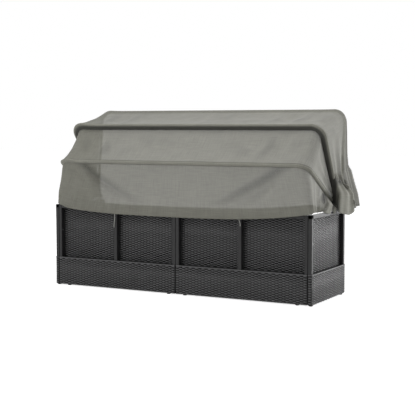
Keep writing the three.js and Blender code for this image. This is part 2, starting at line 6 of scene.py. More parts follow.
import bmesh
import bpy
import numpy as np
from bpy.props import FloatProperty, FloatVectorProperty, IntProperty, PointerProperty
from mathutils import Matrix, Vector


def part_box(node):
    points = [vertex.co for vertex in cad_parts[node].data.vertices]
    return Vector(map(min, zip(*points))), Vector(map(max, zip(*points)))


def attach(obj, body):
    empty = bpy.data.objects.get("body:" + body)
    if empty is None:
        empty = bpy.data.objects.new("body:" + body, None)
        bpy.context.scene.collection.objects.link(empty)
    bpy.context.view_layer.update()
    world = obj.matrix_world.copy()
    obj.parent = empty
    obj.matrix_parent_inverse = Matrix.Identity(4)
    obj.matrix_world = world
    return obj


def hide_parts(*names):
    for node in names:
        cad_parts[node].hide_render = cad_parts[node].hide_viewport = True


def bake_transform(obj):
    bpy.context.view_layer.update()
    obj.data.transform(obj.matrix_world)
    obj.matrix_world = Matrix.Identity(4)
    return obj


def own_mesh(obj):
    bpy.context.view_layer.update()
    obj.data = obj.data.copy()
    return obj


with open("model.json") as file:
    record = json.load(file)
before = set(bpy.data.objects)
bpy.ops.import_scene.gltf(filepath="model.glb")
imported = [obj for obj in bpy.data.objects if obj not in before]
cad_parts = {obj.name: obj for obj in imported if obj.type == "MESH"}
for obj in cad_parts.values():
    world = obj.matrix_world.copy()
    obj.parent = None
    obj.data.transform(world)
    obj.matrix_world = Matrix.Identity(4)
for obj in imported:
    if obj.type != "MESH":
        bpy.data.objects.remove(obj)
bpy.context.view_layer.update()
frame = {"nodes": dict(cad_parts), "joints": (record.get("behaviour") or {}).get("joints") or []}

bl_info = {
    "name": "Daybed with Folding Canopy",
    "version": (1, 0, 0),
    "blender": (4, 5, 0),
    "location": "View3D > Sidebar > Daybed",
    "description": "Wicker, cushions, canopy cloth and studio for the outdoor daybed",
    "category": "Object",
}

SIDES = {"left": -1, "right": 1}
MM = 0.001
X, Y, Z = 0, 1, 2


# Settings


class WeaveSettings(bpy.types.PropertyGroup):
    """Sizes and colour of the woven resin skins."""

    strand: FloatProperty(
        name="Strand", description="Height of one flat strand", default=8.1 * MM, unit="LENGTH"
    )
    pitch: FloatProperty(
        name="Stake pitch", description="Distance between stakes", default=24.8 * MM, unit="LENGTH"
    )
    thickness: FloatProperty(
        name="Thickness", description="Thickness of a strand", default=1.3 * MM, unit="LENGTH"
    )
    swing: FloatProperty(
        name="Swing", description="How far a strand weaves in and out", default=2.3 * MM, unit="LENGTH"
    )
    colour: FloatVectorProperty(
        name="Colour", description="Colour of the resin", default=(0.0235, 0.0235, 0.024), subtype="COLOR"
    )


class CanopySettings(bpy.types.PropertyGroup):
    """Sizes and colour of the canopy cloth."""

    sag: FloatProperty(
        name="Sag", description="How far the cloth hangs in between the hoops", default=16 * MM, unit="LENGTH"
    )
    thickness: FloatProperty(
        name="Thickness", description="Thickness of the cloth", default=1.0 * MM, unit="LENGTH"
    )
    colour: FloatVectorProperty(
        name="Colour", description="Colour of the cloth", default=(0.222, 0.220, 0.186), subtype="COLOR"
    )
    alpha: FloatProperty(
        name="Cover", description="How much of what is behind one side of the cloth it hides", default=0.72
    )


class CushionSettings(bpy.types.PropertyGroup):
    """Sizes and colour of the cushions."""

    piping: FloatProperty(
        name="Piping", description="Radius of the piped edge", default=3.5 * MM, unit="LENGTH"
    )
    pressure: FloatProperty(name="Pressure", description="Pressure that fills the cushions", default=4.0)
    frames: IntProperty(name="Frames", description="Steps of the filling simulation", default=20)
    colour: FloatVectorProperty(
        name="Colour", description="Colour of the cushion cloth", default=(0.42, 0.41, 0.37), subtype="COLOR"
    )


class StageSettings(bpy.types.PropertyGroup):
    """The camera of the photograph."""

    camera: FloatVectorProperty(
        name="Camera",
        description="Place of the camera",
        default=(-3.466, 6.314, 1.155),
        subtype="XYZ",
        unit="LENGTH",
    )
    heading: FloatVectorProperty(
        name="Heading",
        description="Direction of view",
        default=(0.47014, -0.87895, -0.08002),
        subtype="DIRECTION",
    )
    lens: FloatProperty(name="Lens", description="Focal length on a sensor 36 mm wide", default=89.2)


# Shapes


def joint_place(name):
    """The place of a joint's axis."""
    return np.array(next(joint["pos_m"] for joint in frame["joints"] if joint["name"] == name))


def corners_of(node):
    """The lowest and the highest corner of a node's box."""
    low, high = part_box(node)
    return np.array(low), np.array(high)


def ramp(value, start, width):
    """A share that rises evenly from 0 at the start to 1 a width further on."""
    return np.clip((value - start) / width, 0, 1)


def eased(share):
    """A share from 0 to 1 that sets off and arrives slowly: its square times 3 less twice itself."""
    return share * share * (3 - 2 * share)


def hill(value, middle, width):
    """A round hill of height 1: e to the minus square of the distance from its middle, in widths."""
    return np.exp(-(((value - middle) / width) ** 2))


def paired(first, second):
    """Two arrays that broadcast to one grid, as a list of pairs."""
    return np.stack(np.broadcast_arrays(first, second), axis=-1).reshape(-1, 2)


def way_along(line):
    """The distance along a line of places, from its first place."""
    return np.concatenate([[0], np.cumsum(np.linalg.norm(np.diff(line, axis=0), axis=1))])


def smooth_route(points, steps=24):
    """A smooth curve through the points, by a cubic over each four neighbours, in even steps."""
    points = np.asarray(points, float)
    padded = np.concatenate([[2 * points[0] - points[1]], points, [2 * points[-1] - points[-2]]])
    t = np.linspace(0, len(points) - 1, steps)
    index = np.minimum(t.astype(int), len(points) - 2)
    f = (t - index)[:, None]
    a, b, c, d = (padded[index + k] for k in range(4))
    return 0.5 * (2 * b + (c - a) * f + (2 * a - 5 * b + 4 * c - d) * f**2 + (3 * b - a - 3 * c + d) * f**3)


def smooth_noise(shape, cells, seed):
    """Soft random waves on a grid: random values on a coarse grid, joined by eased steps, from -1 to 1."""
    random = np.random.default_rng(seed)
    coarse = random.uniform(-1, 1, (cells[0] + 2, cells[1] + 2))
    row = np.linspace(0, cells[0], shape[0])
    column = np.linspace(0, cells[1], shape[1])
    first_row, first_column = row.astype(int), column.astype(int)
    down = eased((row - first_row)[:, None])
    across = eased((column - first_column)[None, :])
    top, low = (
        coarse[np.ix_(first_row + step, first_column)] * (1 - across)
        + coarse[np.ix_(first_row + step, first_column + 1)] * across
        for step in (0, 1)
    )
    return top * (1 - down) + low * down


def normals_of(places):
    """Unit normals of a grid of places, from the steps along its rows and columns."""
    normal = np.cross(np.gradient(places, axis=1), np.gradient(places, axis=0))
    return normal / np.maximum(np.linalg.norm(normal, axis=-1, keepdims=True), 1e-9)


def moved_out(places, heights):
    """A grid of places moved by heights along its normals."""
    return places + normals_of(places) * heights[..., None]


# Meshes


BOX_CORNERS = np.array([[a, b, c] for c in (0, 1) for a, b in ((0, 0), (1, 0), (1, 1), (0, 1))])
BOX_QUADS = np.array([[3, 2, 1, 0], [4, 5, 6, 7], [0, 1, 5, 4], [1, 2, 6, 5], [2, 3, 7, 6], [3, 0, 4, 7]])


def repeated(faces, count, step):
    """The same faces for each of a count of like shapes, whose vertices follow each other a step apart."""
    return (faces[None] + step * np.arange(count)[:, None, None]).reshape(-1, faces.shape[1])


def grid_faces(rows, columns, loop_columns=False):
    """Quads over a grid of rows by columns, row after row; the columns may close into a loop."""
    row = np.arange(rows - 1)[:, None] * columns
    column = np.arange(columns if loop_columns else columns - 1)[None, :]
    after = (column + 1) % columns
    corners = [row + column, row + after, row + columns + after, row + columns + column]
    return np.stack(corners, axis=-1).reshape(-1, 4)


def end_caps(rows, columns):
    """The two faces that close the ends of a grid whose columns form a loop."""
    ring = np.arange(columns)
    return np.array([ring[::-1], (rows - 1) * columns + ring])


def link_new(name, data):
    """A new object for a mesh, curve, lamp or camera, in the scene."""
    piece = bpy.data.objects.new(name, data)
    bpy.context.scene.collection.objects.link(piece)
    return piece


def mesh_piece(name, vertices, faces, material, smooth=True, uv=None, painted_light_and_tone=None):
    """A mesh object from places and lists of faces; each list's faces have as many corners as each other.

    uv and the painted light and shade, with some random tone, are values for each vertex.
    """
    mesh = bpy.data.meshes.new(name)
    listed = [face for like in faces for face in like.tolist()]
    mesh.from_pydata(np.asarray(vertices, float).tolist(), [], listed)
    if uv is not None:
        set_threads(mesh, np.asarray(uv))
    if painted_light_and_tone is not None:
        layer = mesh.attributes.new("painted_light_and_tone", "FLOAT", "POINT")
        layer.data.foreach_set("value", np.asarray(painted_light_and_tone, np.float32))
    mesh.polygons.foreach_set("use_smooth", np.full(len(mesh.polygons), smooth))
    mesh.materials.append(material)
    mesh.update()
    return link_new(name, mesh)


def set_threads(mesh, uv):
    """Gives a mesh the UV map that its threads follow, from a pair of values for each vertex."""
    corners = np.zeros(len(mesh.loops), np.int32)
    mesh.loops.foreach_get("vertex_index", corners)
    layer = mesh.uv_layers.get("Weave") or mesh.uv_layers.new(name="Weave")
    layer.data.foreach_set("uv", uv[corners].astype(np.float32).ravel())


def places_of(mesh):
    """All the places of a mesh's vertices."""
    places = np.empty(len(mesh.vertices) * 3, np.float32)
    mesh.vertices.foreach_get("co", places)
    return places.reshape(-1, 3).astype(float)


def set_places(mesh, places):
    """Moves a mesh's vertices to new places."""
    mesh.vertices.foreach_set("co", places.astype(np.float32).ravel())
    mesh.update()


def add_modifier(piece, kind, **values):
    """A modifier with its values set."""
    modifier = piece.modifiers.new(kind.title(), kind)
    for name, value in values.items():
        setattr(modifier, name, value)
    return modifier


def repaired(piece, weld=0.0):
    """The piece with vertices joined within a weld distance, and each of its closed parts facing out."""
    work = bmesh.new()
    work.from_mesh(piece.data)
    if weld:
        bmesh.ops.remove_doubles(work, verts=work.verts, dist=weld)
    bmesh.ops.recalc_face_normals(work, faces=work.faces)
    work.to_mesh(piece.data)
    work.free()
    return piece


# Materials


MATERIALS = {}

# The material's name, colour, roughness, metallic share and grain of each plain finish.
COATINGS = {
    "frame": ("frame_metal", (0.017, 0.0171, 0.0175), 0.45, 0.0, 900.0),
    "hoop": ("hoop_metal", (0.045, 0.045, 0.047), 0.45, 0.2, 900.0),
    "bolt": ("bolt_metal", (0.16, 0.16, 0.165), 0.42, 0.85, 1500.0),
    "foot": ("foot_plastic", (0.012, 0.012, 0.012), 0.6, 0.0, 1200.0),
}
COATED_SPREAD = (0.08, 0.1)
RESIN_LINES = (9.0, 900.0)
# The resin's painted light and shade: the values it runs over, then the levels of the resin colour they give,
# from near black in shade to over three times as bright where lit.
RESIN_PAINTED_LIGHT_INPUTS = (-0.5, 0.8)
RESIN_PAINTED_LIGHT_LEVELS = (0.01, 3.3)
RESIN_ROUGHNESS = (0.22, 0.42)
CLOTH_THREADS = (700.0, 16.0)
CLOTH_SLUBS = (150.0, 7.0)
CLOTH_SUMS = (0.7, 1.3)
# How dark the painted shade makes the cloth at its deepest.
CLOTH_DEEPEST_PAINTED_SHADE = 0.2
CANOPY_SHARE = 0.2
CUSHION_SHARE = 0.07
TIE_SHARE = 0.06
TIE_COLOUR = (0.5, 0.5, 0.46)
PIPING_LEVEL = 0.8


def set_inputs(tree, node, inputs):
    """Gives a node's sockets their values or links."""
    for socket, value in inputs.items():
        if isinstance(value, bpy.types.NodeSocket):
            tree.links.new(value, node.inputs[socket])
        else:
            node.inputs[socket].default_value = value
    return node


def add_node(tree, kind, inputs=None, **values):
    """A shader node with its settings and the values or links of its sockets."""
    node = tree.nodes.new(kind)
    for name, value in values.items():
        setattr(node, name, value)
    return set_inputs(tree, node, inputs or {})


def worked(tree, operation, first, second, clamp=False):
    """The result of one sum on two values."""
    node = add_node(tree, "ShaderNodeMath", {0: first, 1: second}, operation=operation, use_clamp=clamp)
    return node.outputs[0]


def multiplied(tree, colour, factor):
    """A colour or vector times a value or vector."""
    return add_node(tree, "ShaderNodeVectorMath", {0: colour, 1: factor}, operation="MULTIPLY").outputs[0]


def ranged(tree, value, low, high, start=0.0, end=1.0):
    """A value between start and end, moved to the same share of the way from low to high."""
    sockets = {"Value": value, "From Min": start, "From Max": end, "To Min": low, "To Max": high}
    return add_node(tree, "ShaderNodeMapRange", sockets).outputs[0]


def bumped(tree, shader, height, strength, distance):
    """Raises a shader's surface by a height."""
    bump = add_node(tree, "ShaderNodeBump", {"Strength": strength, "Distance": distance, "Height": height})
    tree.links.new(bump.outputs[0], shader.inputs["Normal"])


def new_material(name):
    """A material with only its Principled shader and output."""
    material = bpy.data.materials.new(name)
    material.use_nodes = True
    return material, material.node_tree, material.node_tree.nodes["Principled BSDF"]


def new_group(name, inputs, output, kind):
    """A shader node group with named sockets and one output; a socket without a default keeps its own."""
    group = bpy.data.node_groups.new(name, "ShaderNodeTree")
    for socket, socket_kind, default in inputs:
        made = group.interface.new_socket(socket, in_out="INPUT", socket_type=socket_kind)
        if default is not None:
            made.default_value = default
    group.interface.new_socket(output, in_out="OUTPUT", socket_type=kind)
    given = group.nodes.new("NodeGroupInput").outputs
    return group, given, group.nodes.new("NodeGroupOutput").inputs[output]


def place_group(tree, group, inputs):
    """The output of a node group placed in a material with its own values."""
    node = tree.nodes.new("ShaderNodeGroup")
    node.node_tree = group
    return set_inputs(tree, node, inputs).outputs[0]


def mottle_group():
    """Slow light and dark patches: noise at one scale that moves a colour up and down by a share."""
    inputs = [
        ("Color", "NodeSocketColor", (0.5, 0.5, 0.5, 1)),
        ("Scale", "NodeSocketFloat", 8.0),
        ("Share", "NodeSocketFloat", 0.15),
        ("Vector", "NodeSocketVector", None),
    ]
    group, given, out = new_group("Mottle", inputs, "Color", "NodeSocketColor")
    sockets = {"Vector": given["Vector"], "Scale": given["Scale"], "Detail": 4.0}
    noise = add_node(group, "ShaderNodeTexNoise", sockets).outputs[0]
    spread = worked(group, "SUBTRACT", noise, 0.5)
    level = worked(group, "ADD", worked(group, "MULTIPLY", spread, given["Share"]), 1.0)
    group.links.new(multiplied(group, given["Color"], level), out)
    return group


def threads_group():
    """Woven threads: the mean of two fine noises, each drawn out along one direction of a UV map."""
    inputs = [
        ("Vector", "NodeSocketVector", None),
        ("Fine", "NodeSocketFloat", 700.0),
        ("Long", "NodeSocketFloat", 14.0),
    ]
    group, given, out = new_group("Threads", inputs, "Height", "NodeSocketFloat")
    made = []
    for first, second in (("Fine", "Long"), ("Long", "Fine")):
        scale = add_node(group, "ShaderNodeCombineXYZ", {"X": given[first], "Y": given[second], "Z": 1.0})
        drawn = multiplied(group, given["Vector"], scale.outputs[0])
        sockets = {"Vector": drawn, "Scale": 1.0, "Detail": 2.0, "Roughness": 0.6}
        made.append(add_node(group, "ShaderNodeTexNoise", sockets, noise_dimensions="2D").outputs[0])
    group.links.new(worked(group, "MULTIPLY", worked(group, "ADD", *made), 0.5), out)
    return group


def object_coordinates(tree):
    """A piece's own places, which stay with it when it moves."""
    return add_node(tree, "ShaderNodeTexCoord").outputs["Object"]


def threads_over(tree, groups, fine, long):
    """The threads at two scales, over a piece's places along its strands or threads in metres."""
    place = add_node(tree, "ShaderNodeUVMap", uv_map="Weave").outputs["UV"]
    return place_group(tree, groups["Threads"], {"Vector": place, "Fine": fine, "Long": long})


def painted_light_and_tone_of(tree):
    """The painted light and shade, with some random tone, that a piece's vertices carry."""
    return add_node(tree, "ShaderNodeAttribute", attribute_name="painted_light_and_tone").outputs["Fac"]


def mottled(tree, groups, shader, colour, scale, share, place):
    """Gives a shader a colour with slow light and dark patches."""
    sockets = {"Color": colour, "Scale": scale, "Share": share, "Vector": place}
    tree.links.new(place_group(tree, groups["Mottle"], sockets), shader.inputs["Base Color"])


def resin_material(groups):
    """Extruded resin strand: a dark satin with fine lines along it; its painted light makes it brighter where
    it stands out and darker, as shade, where it dips inwards.
    """
    settings = bpy.context.scene.daybed_weave
    material, tree, shader = new_material("woven_resin")
    lines = threads_over(tree, groups, *RESIN_LINES)
    # Painted light and shade: the resin colour is scaled by the vertices' painted light.
    level = ranged(tree, painted_light_and_tone_of(tree), *RESIN_PAINTED_LIGHT_LEVELS, *RESIN_PAINTED_LIGHT_INPUTS)
    base = multiplied(tree, tuple(settings.colour), level)
    mottled(tree, groups, shader, base, 9.0, 0.5, object_coordinates(tree))
    tree.links.new(ranged(tree, lines, *RESIN_ROUGHNESS), shader.inputs["Roughness"])
    bumped(tree, shader, lines, 0.25, 0.6 * MM)
    shader.inputs["Specular IOR Level"].default_value = 0.3
    return material


def coated_material(groups, name, colour, roughness, metallic, grain):
    """Powder coat or plating: an even colour with faint patches and a fine orange-peel grain."""
    material, tree, shader = new_material(name)
    place = object_coordinates(tree)
    mottled(tree, groups, shader, (*colour, 1), 14.0, 0.35, place)
    fine = add_node(tree, "ShaderNodeTexNoise", {"Vector": place, "Scale": grain, "Detail": 3.0}).outputs[0]
    smoother, rougher = COATED_SPREAD
    tree.links.new(ranged(tree, fine, roughness - smoother, roughness + rougher), shader.inputs["Roughness"])
    bumped(tree, shader, fine, 0.15, 0.4 * MM)
    shader.inputs["Metallic"].default_value = metallic
    shader.inputs["Specular IOR Level"].default_value = 0.5 if metallic else 0.28
    return material


def cloth_material(groups, name, colour, share, cover=1.0):
    """Woven cloth: threads and slubs move its colour, threads its height, and its painted shade darkens it."""
    material, tree, shader = new_material(name)
    threads = threads_over(tree, groups, *CLOTH_THREADS)
    slubs = threads_over(tree, groups, *CLOTH_SLUBS)
    level = ranged(tree, worked(tree, "ADD", threads, slubs), 1 - share, 1 + share, *CLOTH_SUMS)
    woven = multiplied(tree, tuple(colour), level)
    # Painted shade: the cloth is darkened by its vertices' painted shade.
    shaded = multiplied(tree, woven, ranged(tree, painted_light_and_tone_of(tree), 1.0, CLOTH_DEEPEST_PAINTED_SHADE))
    mottled(tree, groups, shader, shaded, 3.0, 0.16, object_coordinates(tree))
    bumped(tree, shader, threads, 0.35, 0.5 * MM)
    shader.inputs["Roughness"].default_value = 0.92
    shader.inputs["Sheen Weight"].default_value = 0.15
    shader.inputs["Alpha"].default_value = cover
    return material


def make_materials():
    """All the materials, by the name of their finish."""
    groups = {"Mottle": mottle_group(), "Threads": threads_group()}
    canopy = bpy.context.scene.daybed_canopy
    cushions = bpy.context.scene.daybed_cushions
    piping = tuple(PIPING_LEVEL * channel for channel in cushions.colour)
    made = {"resin": resin_material(groups)}
    for finish, coating in COATINGS.items():
        made[finish] = coated_material(groups, *coating)
    made["canopy"] = cloth_material(groups, "canopy_cloth", canopy.colour, CANOPY_SHARE, canopy.alpha)
    made["hem"] = cloth_material(groups, "canopy_hem", canopy.colour, CANOPY_SHARE, canopy.alpha)
    made["sleeve"] = cloth_material(groups, "canopy_sleeve", canopy.colour, CANOPY_SHARE)
    made["cushion"] = cloth_material(groups, "cushion_cloth", cushions.colour, CUSHION_SHARE)
    made["piping"] = cloth_material(groups, "cushion_piping", piping, CUSHION_SHARE)
    made["tie"] = cloth_material(groups, "tie_cloth", TIE_COLOUR, TIE_SHARE)
    return made


# Woven skins


SAMPLES_PER_STAKE = 4
WAVE_POWER = 0.75
STRAND_WANDER = 0.25 * MM
STRAND_FILL = 0.99
LENS_ACROSS = np.array([-1, -0.55, 0.55, 1, 0.55, -0.55])
LENS_OUT = np.array([0, 1, 1, 0, -1, -1])
TOP_STRAND = 0.8
# The strands' painted light: its middle, how far it follows the swing out and in, and the random tone of each
# row.
PAINTED_LIGHT_MIDDLE, PAINTED_LIGHT_SWING, TONE_OWN = 0.05, 0.90, 0.08
STAKE_HALF = (3.2 * MM, 0.45 * MM)
STAKE_MARGIN = 0.2 * MM
# The stakes are painted darker, as shade inside the weave.
STAKE_PAINTED_SHADE = -0.3
# A near-black sheet behind the strands, as painted shade seen through the weave: its depths, margin and
# darkness.
SHADE_SHEET_DEPTHS = (-0.75 * MM, -1.0 * MM)
SHADE_SHEET_MARGIN = 0.3 * MM
SHADE_SHEET_PAINTED_SHADE = -1.0
SEAM = 4.5 * MM
ARM_INSET = 1.75 * MM
ARM_RETURN = 2 * MM
ARM_CORNER = 5 * MM
ARM_CORNER_STEPS = 7


def woven_wall(name, path, outward, across, height):
    """A woven skin: strands that weave in and out of stakes, with the stakes and a near-black sheet behind
    them, painted shade seen through the weave.

    path is a line of places along the strands, outward its unit normals, and across the unit direction in
    which the rows of strands follow each other, over height. Each shape gives its places, faces, painted light
    and shade with any random tone, and UV.
    """
    settings = bpy.context.scene.daybed_weave
    path, across = np.asarray(path, float), np.asarray(across, float)
    way = way_along(path)
    stakes = max(2, int(round(way[-1] / settings.pitch)))
    along = np.linspace(0, way[-1], stakes * SAMPLES_PER_STAKE + 1)
    line, normal = (
        np.stack([np.interp(along, way, values[:, axis]) for axis in range(3)], axis=1)
        for values in (path, np.asarray(outward, float))
    )
    normal /= np.linalg.norm(normal, axis=1, keepdims=True)
    shapes = [
        strands(name, line, normal, across, height, along, stakes),
        stake_bars(line, normal, across, height, stakes),
        painted_shade_sheet(line, normal, across, height),
    ]
    places, faces, painted_lights_and_tones, uvs = [], [], [], []
    first = 0
    for shape_places, shape_faces, painted_light_and_tone, uv in shapes:
        places.append(shape_places)
        faces += [like + first for like in shape_faces]
        painted_lights_and_tones.append(np.broadcast_to(painted_light_and_tone, len(shape_places)))
        uvs.append(np.broadcast_to(uv, (len(shape_places), 2)))
        first += len(shape_places)
    places, painted_lights_and_tones, uvs = (np.concatenate(values) for values in (places, painted_lights_and_tones, uvs))
    return repaired(mesh_piece(name, places, faces, MATERIALS["resin"], uv=uvs, painted_light_and_tone=painted_lights_and_tones))


def strands(name, line, normal, across, height, along, stakes):
    """The strands of a woven skin, each a flat six-sided lens carried along the path.

    A strand swings as a rounded square wave of its way along the path, half a period per stake, and each row
    is in antiphase to the next; the top strand of a skirt lies on top all along. Light and shade are painted
    by the swing: brighter where the strand stands out, darker where it dips in, with a little random tone per
    row.
    """
    settings = bpy.context.scene.daybed_weave
    samples, sides = len(along), len(LENS_OUT)
    rows = max(2, int(round(height / settings.strand)))
    row_height = height / rows
    random = np.random.default_rng(len(name) * 7 + rows)
    phase = np.cos(math.pi * (along * stakes / along[-1] - 0.5))
    wave = np.sign(phase) * np.abs(phase) ** WAVE_POWER
    sign = np.where(np.arange(rows) % 2 == 0, 1.0, -1.0)[:, None]
    pattern = wave[None, :] * sign
    if "skirt" in name:
        pattern[-1] = TOP_STRAND
    level = ((np.arange(rows) + 0.5) * row_height)[:, None]
    level = level + STRAND_WANDER * smooth_noise((rows, samples), (rows, max(2, stakes // 3)), rows)
    lens_across = LENS_ACROSS * row_height / 2 * STRAND_FILL
    stand = settings.swing * pattern[:, :, None] + LENS_OUT * settings.thickness / 2
    rise = level[:, :, None] + lens_across
    places = line[None, :, None, :] + normal[None, :, None, :] * stand[..., None] + across * rise[..., None]
    quads = repeated(grid_faces(samples, sides, loop_columns=True), rows, samples * sides)
    caps = repeated(end_caps(samples, sides), rows, samples * sides)
    # Painted light and shade: brighter where the strand stands out, darker where it dips in; own is random
    # tone for each row.
    own = random.uniform(-TONE_OWN, TONE_OWN, rows)[:, None]
    painted_light_and_tone = np.repeat((PAINTED_LIGHT_MIDDLE + PAINTED_LIGHT_SWING * pattern + own).ravel(), sides)
    return places.reshape(-1, 3), [quads, caps], painted_light_and_tone, paired(along[None, :, None], rise)


def stake_bars(line, normal, across, height, stakes):
    """The stakes inside the weave: flat bars at even steps along the path, over its whole height, painted
    darker as shade.
    """
    index = np.round((np.arange(stakes) + 0.5) * (len(line) - 1) / stakes).astype(int)
    side = np.cross(normal[index], across)
    wide, deep = ((2 * BOX_CORNERS[:, axis] - 1)[:, None] * STAKE_HALF[axis] for axis in (0, 1))
    rise = (STAKE_MARGIN + (height - 2 * STAKE_MARGIN) * BOX_CORNERS[:, 2])[:, None]
    places = line[index, None] + side[:, None] * wide + normal[index, None] * deep + across * rise
    return places.reshape(-1, 3), [repeated(BOX_QUADS, stakes, len(BOX_CORNERS))], STAKE_PAINTED_SHADE, 0.0


def painted_shade_sheet(line, normal, across, height):
    """A near-black sheet behind the strands that paints the shade seen through the weave: a thin closed sheet
    along the path, set a little inwards.
    """
    near, far = SHADE_SHEET_DEPTHS
    low, high = SHADE_SHEET_MARGIN, height - SHADE_SHEET_MARGIN
    ring = [(low, near), (low, far), (high, far), (high, near)]
    places = np.stack([line + normal * depth + across * level for level, depth in ring], axis=1)
    faces = [grid_faces(len(line), len(ring), loop_columns=True), end_caps(len(line), len(ring))]
    return places.reshape(-1, 3), faces, SHADE_SHEET_PAINTED_SHADE, 0.0


def skin_for(node, path, outward, across, height):
    """Puts a woven skin in the place of a node."""
    piece = woven_wall(node + "_weave", path, outward, across, height)
    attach(piece, "daybed")
    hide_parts(node)


def straight_wall(node, across_axis, out_axis, out_sign, seam=0.0):
    """The weave for a flat skin: its path runs along the axis that is left, less a seam at each end."""
    low, high = corners_of(node)
    along_axis = X + Y + Z - across_axis - out_axis
    start = (low + high) / 2
    start[across_axis] = low[across_axis]
    end = start.copy()
    start[along_axis] = low[along_axis] + seam
    end[along_axis] = high[along_axis] - seam
    outward = np.zeros((2, 3))
    outward[:, out_axis] = out_sign
    skin_for(node, [start, end], outward, np.eye(3)[across_axis], high[across_axis] - low[across_axis])


def wrapped_wall(node, sign):
    """The arm's skirt: its strands turn round both end posts, so the path has two rounded corners."""
    low, high = corners_of(node)
    outer = max(abs(low[X]), abs(high[X])) - ARM_INSET
    inner = min(abs(low[X]), abs(high[X])) + ARM_RETURN
    front, rear = low[Y] + ARM_INSET, high[Y] - ARM_INSET
    turn = np.linspace(0, math.pi / 2, ARM_CORNER_STEPS)
    sine, cosine = np.sin(turn), np.cos(turn)
    round_x = outer - ARM_CORNER
    front_turn = np.column_stack([round_x + ARM_CORNER * sine, front + ARM_CORNER * (1 - cosine)])
    rear_turn = np.column_stack([round_x + ARM_CORNER * cosine, rear - ARM_CORNER * (1 - sine)])
    places = np.vstack([[inner, front], front_turn, rear_turn, [inner, rear]]) * [sign, 1]
    turned = np.vstack([np.column_stack([sine, -cosine]), np.column_stack([cosine, sine])])
    normals = np.vstack([[0, -1], turned, [0, 1]]) * [sign, 1]
    path = np.column_stack([places, np.full(len(places), low[Z])])
    outward = np.column_stack([normals, np.zeros(len(normals))])
    skin_for(node, path, outward, np.eye(3)[Z], high[Z] - low[Z])


class DAYBED_OT_weave(bpy.types.Operator):
    """Weave the resin skins over the frames"""

    bl_idname = "daybed.weave"
    bl_label = "Woven skins"

    def execute(self, context):
        for side, sign in SIDES.items():
            straight_wall(f"{side}_back_weave", Z, Y, 1)
            straight_wall(f"{side}_back_skirt", Z, Y, 1, SEAM)
            straight_wall(f"{side}_front_skirt", Z, Y, -1, SEAM)
            straight_wall(f"{side}_arm_weave", Z, X, sign)
            straight_wall(f"{side}_seat_deck", Y, Z, 1)
            wrapped_wall(f"{side}_arm_skirt", sign)
        return {"FINISHED"}


# Frames and fittings


TUBE = 25 * MM
ARM_TUBE = 28 * MM
TUBE_EDGE = 2.6 * MM
SEAT_CROSS_BARS = 2
JOINT_ROOM = 3 * MM
MIDDLE_ROOM = 0.6 * MM

# The finish of a solid that is kept, by the first of these words that its name holds.
FINISH_WORDS = {
    "_frame": "frame",
    "_post": "frame",
    "bracket": "frame",
    "hoop": "hoop",
    "foot": "foot",
    "bolt": "bolt",
    "nut": "bolt",
    "spacer": "bolt",
}


class DAYBED_OT_finishes(bpy.types.Operator):
    """Give the hoops, brackets, bolts and feet their finishes"""

    bl_idname = "daybed.finishes"
    bl_label = "Metal and plastic finishes"

    def execute(self, context):
        for name, node in frame["nodes"].items():
            kind = next((finish for word, finish in FINISH_WORDS.items() if word in name), "frame")
            node.data.materials.clear()
            node.data.materials.append(MATERIALS[kind])
        return {"FINISHED"}


def between(low, high, axis, start, end):
    """The part of a box between two places along one axis."""
    first, last = low.copy(), high.copy()
    first[axis], last[axis] = start, end
    return first, last


def rails_of(low, high, base_top, tall):
    """The rails of a frame, as boxes: at its foot, the base's top and, on a tall frame, its own top."""
    rails = [between(low, high, Z, low[Z], low[Z] + TUBE), between(low, high, Z, base_top - TUBE, base_top)]
    if tall:
        rails.append(between(low, high, Z, high[Z] - TUBE, high[Z]))
    return rails


def end_bars(low, high, width):
    """The two tubes at the front and the back of a box."""
    front = between(low, high, Y, low[Y], low[Y] + width)
    return [front, between(low, high, Y, high[Y] - width, high[Y])]


def frame_bars(kind, base_top):
    """The tubes of one frame as boxes, on the right section; the left one's are mirrored."""
    low, high = corners_of(f"right_{kind}")
    if kind == "corner_post":
        return [between(low, high, X, low[X], high[X] - JOINT_ROOM)]
    if kind == "arm_frame":
        return end_bars(low, high, ARM_TUBE) + rails_of(low, high, base_top, True)
    if kind == "seat_frame":
        starts = np.linspace(low[X], high[X] - TUBE, SEAT_CROSS_BARS + 2)
        return end_bars(low, high, TUBE) + [between(low, high, X, start, start + TUBE) for start in starts]
    middle = (low[X] + corners_of("right_corner_post")[1][X]) / 2
    stiles = [between(low, high, X, middle - TUBE / 2, middle + TUBE / 2)]
    stiles.append(between(low, high, X, low[X] + MIDDLE_ROOM, low[X] + TUBE))
    low[X] += MIDDLE_ROOM
    if kind == "front_frame":
        stiles.append(between(low, high, X, high[X] - TUBE, high[X]))
    return stiles + rails_of(low, high, base_top, kind == "back_frame")


class DAYBED_OT_frames(bpy.types.Operator):
    """Build the rounded tubes of the frames"""

    bl_idname = "daybed.frames"
    bl_label = "Frame tubes"

    def execute(self, context):
        base_top = corners_of("right_back_skirt")[1][Z]
        for side, sign in SIDES.items():
            for kind in ("back_frame", "corner_post", "arm_frame", "front_frame", "seat_frame"):
                self.tubes(f"{side}_{kind}", sign, frame_bars(kind, base_top))
        return {"FINISHED"}

    def tubes(self, node, sign, bars):
        """One frame: a box for each tube, with rounded edges."""
        places = np.concatenate([low + (high - low) * BOX_CORNERS for low, high in bars]) * [sign, 1, 1]
        faces = [repeated(BOX_QUADS, len(bars), len(BOX_CORNERS))]
        piece = repaired(mesh_piece(f"{node}_tubes", places, faces, MATERIALS["frame"]))
        add_modifier(piece, "BEVEL", width=TUBE_EDGE, segments=3, harden_normals=True)
        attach(piece, "daybed")
        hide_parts(node)


# Lines of the canopy


PIVOT = joint_place("rear_hoop_fold")

